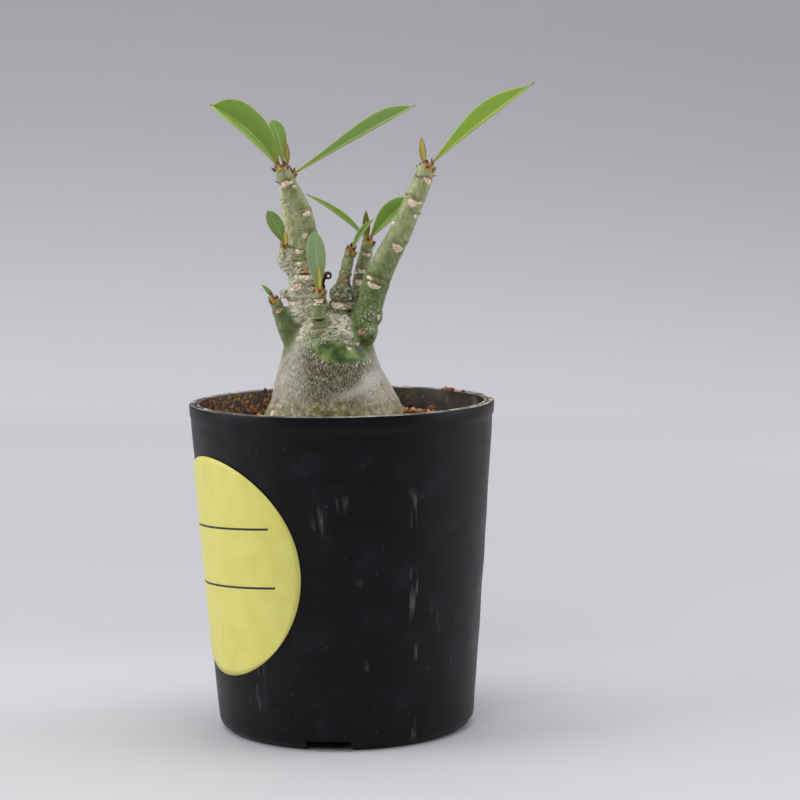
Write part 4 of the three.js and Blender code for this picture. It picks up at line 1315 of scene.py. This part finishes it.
# %% Tufts of scales at the tips
BUDS = {
    # foot and radius in millimetres, and reach, which way the tip points
    "right_branch_bud": dict(
        foot=(25.6, -5, 164.0), reach=(0.15, 0, 1), radius=2.6, height=3.0, scales=9, spines=3),
    "left_front_bud": dict(
        foot=(-16.4, -1, 164.6), reach=(-0.2, 0, 1), radius=2.3, height=2.8, scales=9, spines=3),
    "left_rear_bud": dict(foot=(-14.3, 5.8, 162.6), reach=(0.25, 0, 1), radius=1.75, height=3.0, scales=7),
    "mid_front_bud": dict(foot=(3.0, -3, 139.6), reach=(0.25, 0, 1), radius=1.7, height=3.4),
    "mid_rear_bud": dict(foot=(8.5, 6, 142.2), reach=(0.1, 0, 1), radius=1.9, height=3.2),
    "front_bud": dict(foot=(-6.0, -10.6, 128.4), reach=(0, -0.1, 1), radius=1.9, height=3.0),
    "left_low_bud": dict(foot=(-18.9, -4, 126.0), reach=(-0.3, 0, 1), radius=1.7, height=2.8),
    "left_knob_bud": dict(foot=(-15.8, -1, 141.2), reach=(-0.1, 0, 1), radius=1.5, height=2.8),
}
SPIRAL_TURN = 2.39996


def add_spine(bm, layer, foot, direction, length, width):
    """A thin five-sided cone, tan at its foot and nearly black at its point. Measures are in millimetres."""
    turn = Vector((0, 0, 1)).rotation_difference(Vector(direction).normalized()).to_matrix().to_4x4()
    cone = bmesh.ops.create_cone(
        bm, cap_ends=True, segments=5, radius1=width / 2 * MM, radius2=0.04 * MM, depth=length * MM,
        matrix=Matrix.Translation(Vector(foot) * MM) @ turn @ Matrix.Translation((0, 0, length * MM / 2)),
    )["verts"]
    for face in {face for vert in cone for face in vert.link_faces}:
        for loop in face.loops:
            raised = (loop.vert.co - Vector(foot) * MM).length > length * MM / 2
            loop[layer].uv = (1.0 if raised else 0.5, 0.5)


def grow_tuft(name, foot, reach, radius, height, scales=8, spines=2):
    """Scales set in a spiral round a tip, each further in and higher than the last, and a few spines."""
    chance = random.Random(name)
    bm = bmesh.new()
    layer = bm.loops.layers.uv.new("blade")
    tilt = Vector((0, 0, 1)).rotation_difference(Vector(reach).normalized())
    for index in range(scales):
        share = index / (scales - 1)
        grid = bmesh.ops.create_grid(bm, x_segments=5, y_segments=4, size=1)["verts"]
        for face in {face for vert in grid for face in vert.link_faces}:
            for loop in face.loops:
                loop[layer].uv = ((loop.vert.co.x + 1) / 2, (loop.vert.co.y + 1) / 2)
        middle = index * SPIRAL_TURN + chance.uniform(-0.3, 0.3)
        tall = height * chance.uniform(0.6, 0.9) * (0.7 + 0.5 * share)
        wide = math.radians(chance.uniform(38, 52))
        lean = chance.uniform(0.0, 0.28) * (1 - 0.7 * share)
        for vert in grid:
            along, across = (vert.co.x + 1) / 2, vert.co.y
            turn = middle + across * wide * (1 - along) ** 0.55
            out = radius * (1.04 - 0.42 * share) * (1 - 0.3 * along * share) + lean * tall * along * along
            point = Vector((out * math.cos(turn), out * math.sin(turn), tall * along + 0.3 * height * share))
            vert.co = (Vector(foot) + tilt @ point) * MM
    for index in range(spines):
        turn = math.tau * (index + chance.uniform(0.2, 0.8)) / spines
        lean = chance.uniform(0.5, 1.2)
        around = Vector((math.cos(turn), math.sin(turn), 0))
        base = Vector(foot) + tilt @ (around * radius * 0.95 + Vector((0, 0, chance.uniform(0.1, 0.8))))
        add_spine(bm, layer, base, tilt @ (around * lean + Vector((0, 0, 1))), chance.uniform(0.9, 1.7), 0.5)
    tuft = piece_from(bm, name + "_scales", [DRY_SCALE], [name])
    thick = tuft.modifiers.new("thickness", "SOLIDIFY")
    thick.thickness = 0.2 * MM
    thick.offset = 0


for name, shape in BUDS.items():
    grow_tuft(name, **shape)
print("tufts:", len(BUDS))

# %% Spines at the scars and the dried curl, in millimetres
SPINES = [
    # x, height, lean across, length
    (19.4, 157.6, -0.9, 1.3), (21.6, 156.6, 0.5, 0.9), (23.9, 151.2, 1.2, 1.2), (16.0, 143.4, -0.6, 0.9),
    (19.4, 143.0, 0.8, 1.0), (28.3, 162.2, 1.4, 1.5), (22.8, 162.6, -1.2, 1.2), (-18.0, 161.0, -1.4, 1.6),
    (-18.6, 164.6, -1.6, 2.0), (9.8, 141.4, 1.0, 0.9), (10.4, 143.2, 1.5, 1.1), (4.0, 136.6, 0.8, 0.8),
    (-15.4, 133.8, -1.3, 1.1), (-17.4, 140.6, -1.2, 1.0), (9.4, 115.8, 1.1, 0.9), (-13.6, 137.2, -0.9, 0.8),
]
CURL_STALK = [(-5.0, -4.4, 130.6), (-5.2, -5.4, 132.0), (-4.7, -6.0, 133.2)]
CURL_MIDDLE = Vector((-3.4, -6.0, 134.1))
CURL_RADIUS = 0.85
CURL_THREAD = 0.33
CURL_TURNS = 1.3

spines = bmesh.new()
spine_layer = spines.loops.layers.uv.new("blade")
for at_x, at_z, lean, length in SPINES:
    vertex = anchor(at_x, at_z)
    outward = Vector(normals[vertex])
    foot = places[vertex] - normals[vertex] * 0.3
    add_spine(spines, spine_layer, foot, outward + Vector((lean, 0, 1.1)), length, 0.6)
piece_from(spines, "scar_spines", [DRY_SCALE])

curl = bmesh.new()
curl_layer = curl.loops.layers.uv.new("blade")
coil = []
for index in range(15):
    share = index / 14
    turn = math.radians(200) - share * CURL_TURNS * math.tau
    size = CURL_RADIUS * (1.15 - 0.45 * share)
    coil.append(CURL_MIDDLE + Vector((size * math.cos(turn), -0.7 * share, size * math.sin(turn))))
extrude_stem(curl, CURL_STALK + coil, [0.8, 0.7, 0.45, CURL_THREAD, CURL_THREAD], sides=8, rings=44)
for face in curl.faces:
    for loop in face.loops:
        loop[curl_layer].uv = (0.97, 0.5)
piece_from(curl, "dried_curl", [DRY_SCALE])
print("spines:", len(SPINES), "and one dried curl")

# %% [markdown]
# ## Potting mix
# The mix is fired clay grit: lumpy crumbs from 0.6 mm to about 3 mm, reddish brown and paler. Under the
# loose grains lies a bumpy bed, so that no gap shows through. One crumb is a coarse sphere, squashed and
# knocked out of shape, and a seeded loop scatters it. Crumbs are small, so each has few faces.


# %% Grit finish
def fired_clay():
    """Porous fired-clay grit: dull, reddish brown, each grain a slightly different tone."""
    material, tree = new_material("fired clay grit")
    place = add_node(tree, "TexCoord").outputs["Object"]
    pores = add_node(tree, "TexNoise", {"Vector": place, "Scale": 1 / (0.5 * MM), "Detail": 3})
    grain_tone = add_node(tree, "Attribute", attribute_name="tone").outputs["Fac"]
    tone = add_node(tree, "ValToRGB", {"Fac": grain_tone}, stops=[
        (0.0, "#4f2c1a"), (0.25, "#874a24"), (0.5, "#ab6834"), (0.75, "#c79458"), (1.0, "#e6cd9e"),
    ])
    shade = add_node(tree, "ValToRGB", {"Fac": pores}, stops=[(0.35, 0.5), (0.65, 1.0)])
    shaded = add_node(tree, "Mix", {
        "Factor": 1.0, "A": tone, "B": shade,
    }, data_type="RGBA", blend_type="MULTIPLY")
    bump = add_node(tree, "Bump", {"Height": pores, "Distance": 0.15 * MM, "Strength": 0.6})
    shader = add_node(tree, "BsdfPrincipled", {"Base Color": shaded, "Roughness": 0.92, "Normal": bump})
    add_node(tree, "OutputMaterial", {"Surface": shader})
    return material


CLAY = fired_clay()
soil_low, soil_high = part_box("potting_mix")
HEAP_TOP = soil_high[2]
MOUND = 1.8 * MM
MOUND_FOOT = 36 * MM
MOUND_HEAD = 25 * MM
GRAIN_STAND = 0.7 * MM


def soil_level(radius):
    """Height of the bed: it mounds up from the wall towards the plant."""
    share = min(max((MOUND_FOOT - radius) / (MOUND_FOOT - MOUND_HEAD), 0), 1)
    return HEAP_TOP - GRAIN_STAND - MOUND * (1 - share)


print("bed level from", round(soil_level(1) / MM, 1), "mm to", round(soil_level(0) / MM, 1), "mm")


# %% Bed and loose grit
def crumb(bm, place, size, chance):
    """A lumpy grain of 30 or so faces, with its own tone on its vertices."""
    layer = bm.verts.layers.float["tone"]
    turn = Quaternion([chance.uniform(-1, 1) for _ in range(3)], chance.uniform(0, math.tau))
    squash = Vector((1, chance.uniform(0.7, 1), chance.uniform(0.6, 0.9)))
    seed = Vector((chance.uniform(0, 50), chance.uniform(0, 50), 0))
    tone = chance.random() ** 1.3
    for vert in bmesh.ops.create_uvsphere(bm, u_segments=7, v_segments=5, radius=0.5)["verts"]:
        point = vert.co * (1 + 0.55 * noise.noise(vert.co * 2.2 + seed)) * size
        vert.co = turn @ Vector([a * b for a, b in zip(point, squash)]) + place
        vert[layer] = tone


def scatter(places_and_sizes, chance):
    """Loose crumbs, made by the handful."""
    pile = bmesh.new()
    pile.verts.layers.float.new("tone")
    for start in range(0, len(places_and_sizes), 30):
        handful = bmesh.new()
        handful.verts.layers.float.new("tone")
        for place, size in places_and_sizes[start:start + 30]:
            crumb(handful, place, size, chance)
        add_mesh_of(pile, handful)
    return pile


GRAIN_COUNT = 2100
GRAIN_SIZES = (0.8, 1.0, 1.3, 1.6, 2.1)
TRUNK_CLEARANCE = 17.5 * MM
BANK_COUNT = 90
BANK_LEVEL = 92.2
RIM_CRUMB_TURNS = (36.5, 37.8, 39, 40.4, 41.6, 42.8, 29, 30, 118, 124)
BED_RADIUS = wall_radius(HEAP_TOP) - WALL - 0.15 * MM
bed_rings = [BED_RADIUS * (1 - index / 26) for index in range(26)]
bed = spun(
    [(0, soil_low[2]), (BASE_RADIUS - WALL - 4 * MM, soil_low[2])]
    + [(radius, soil_level(radius)) for radius in bed_rings] + [(0, soil_level(0))], 96,
)
bed_tone = bed.verts.layers.float.new("tone")
for vert in bed.verts:
    vert[bed_tone] = 0.2
    if vert.co.z > soil_level(BED_RADIUS) - 1 * MM:
        vert.co.z += 0.5 * MM * noise.noise(vert.co * 400)
piece_from(bed, "mix_bed", [CLAY], ["potting_mix"])

chance = random.Random(7)
grains = []
for _ in range(GRAIN_COUNT):
    turn = chance.uniform(0, math.tau)
    reach = math.sqrt(chance.uniform(TRUNK_CLEARANCE ** 2, (BED_RADIUS - 1.2 * MM) ** 2))
    size = chance.choice(GRAIN_SIZES) * MM * chance.uniform(0.8, 1.1)
    height = soil_level(reach) + size * 0.2
    grains.append((Vector((reach * math.cos(turn), reach * math.sin(turn), height)), size))
# A few crumbs were left on the rim.
for turn in RIM_CRUMB_TURNS:
    angle, reach = math.radians(turn), RIM_RADIUS - chance.uniform(2.2, 3.2) * MM
    size = chance.uniform(0.8, 1.4) * MM
    height = POT_HEIGHT + size * 0.15
    grains.append((Vector((reach * math.cos(angle), reach * math.sin(angle), height)), size))
# A low bank of grit lies against the trunk's right side.
for _ in range(BANK_COUNT):
    side, back = chance.uniform(18.5, 29.5), chance.uniform(7, 16)
    size = chance.uniform(1.0, 1.6) * MM
    grains.append((Vector((side, back, BANK_LEVEL - 0.11 * (side - 20))) * MM, size))
piece_from(scatter(grains, chance), "loose_grit", [CLAY])
print("grains of grit:", len(grains))


# %% The larger stones
stones = [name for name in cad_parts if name.startswith("stone_")]
for name in stones:
    low, high = (Vector(corner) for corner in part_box(name))
    size = max(high.x - low.x, high.y - low.y) * 0.85
    centre = (low + high) / 2 - Vector((0, 0, 0.6 * MM))
    piece_from(scatter([(centre, size * 1.1)], random.Random(name)), name + "_grain", [CLAY], [name])
print("stones:", len(stones))
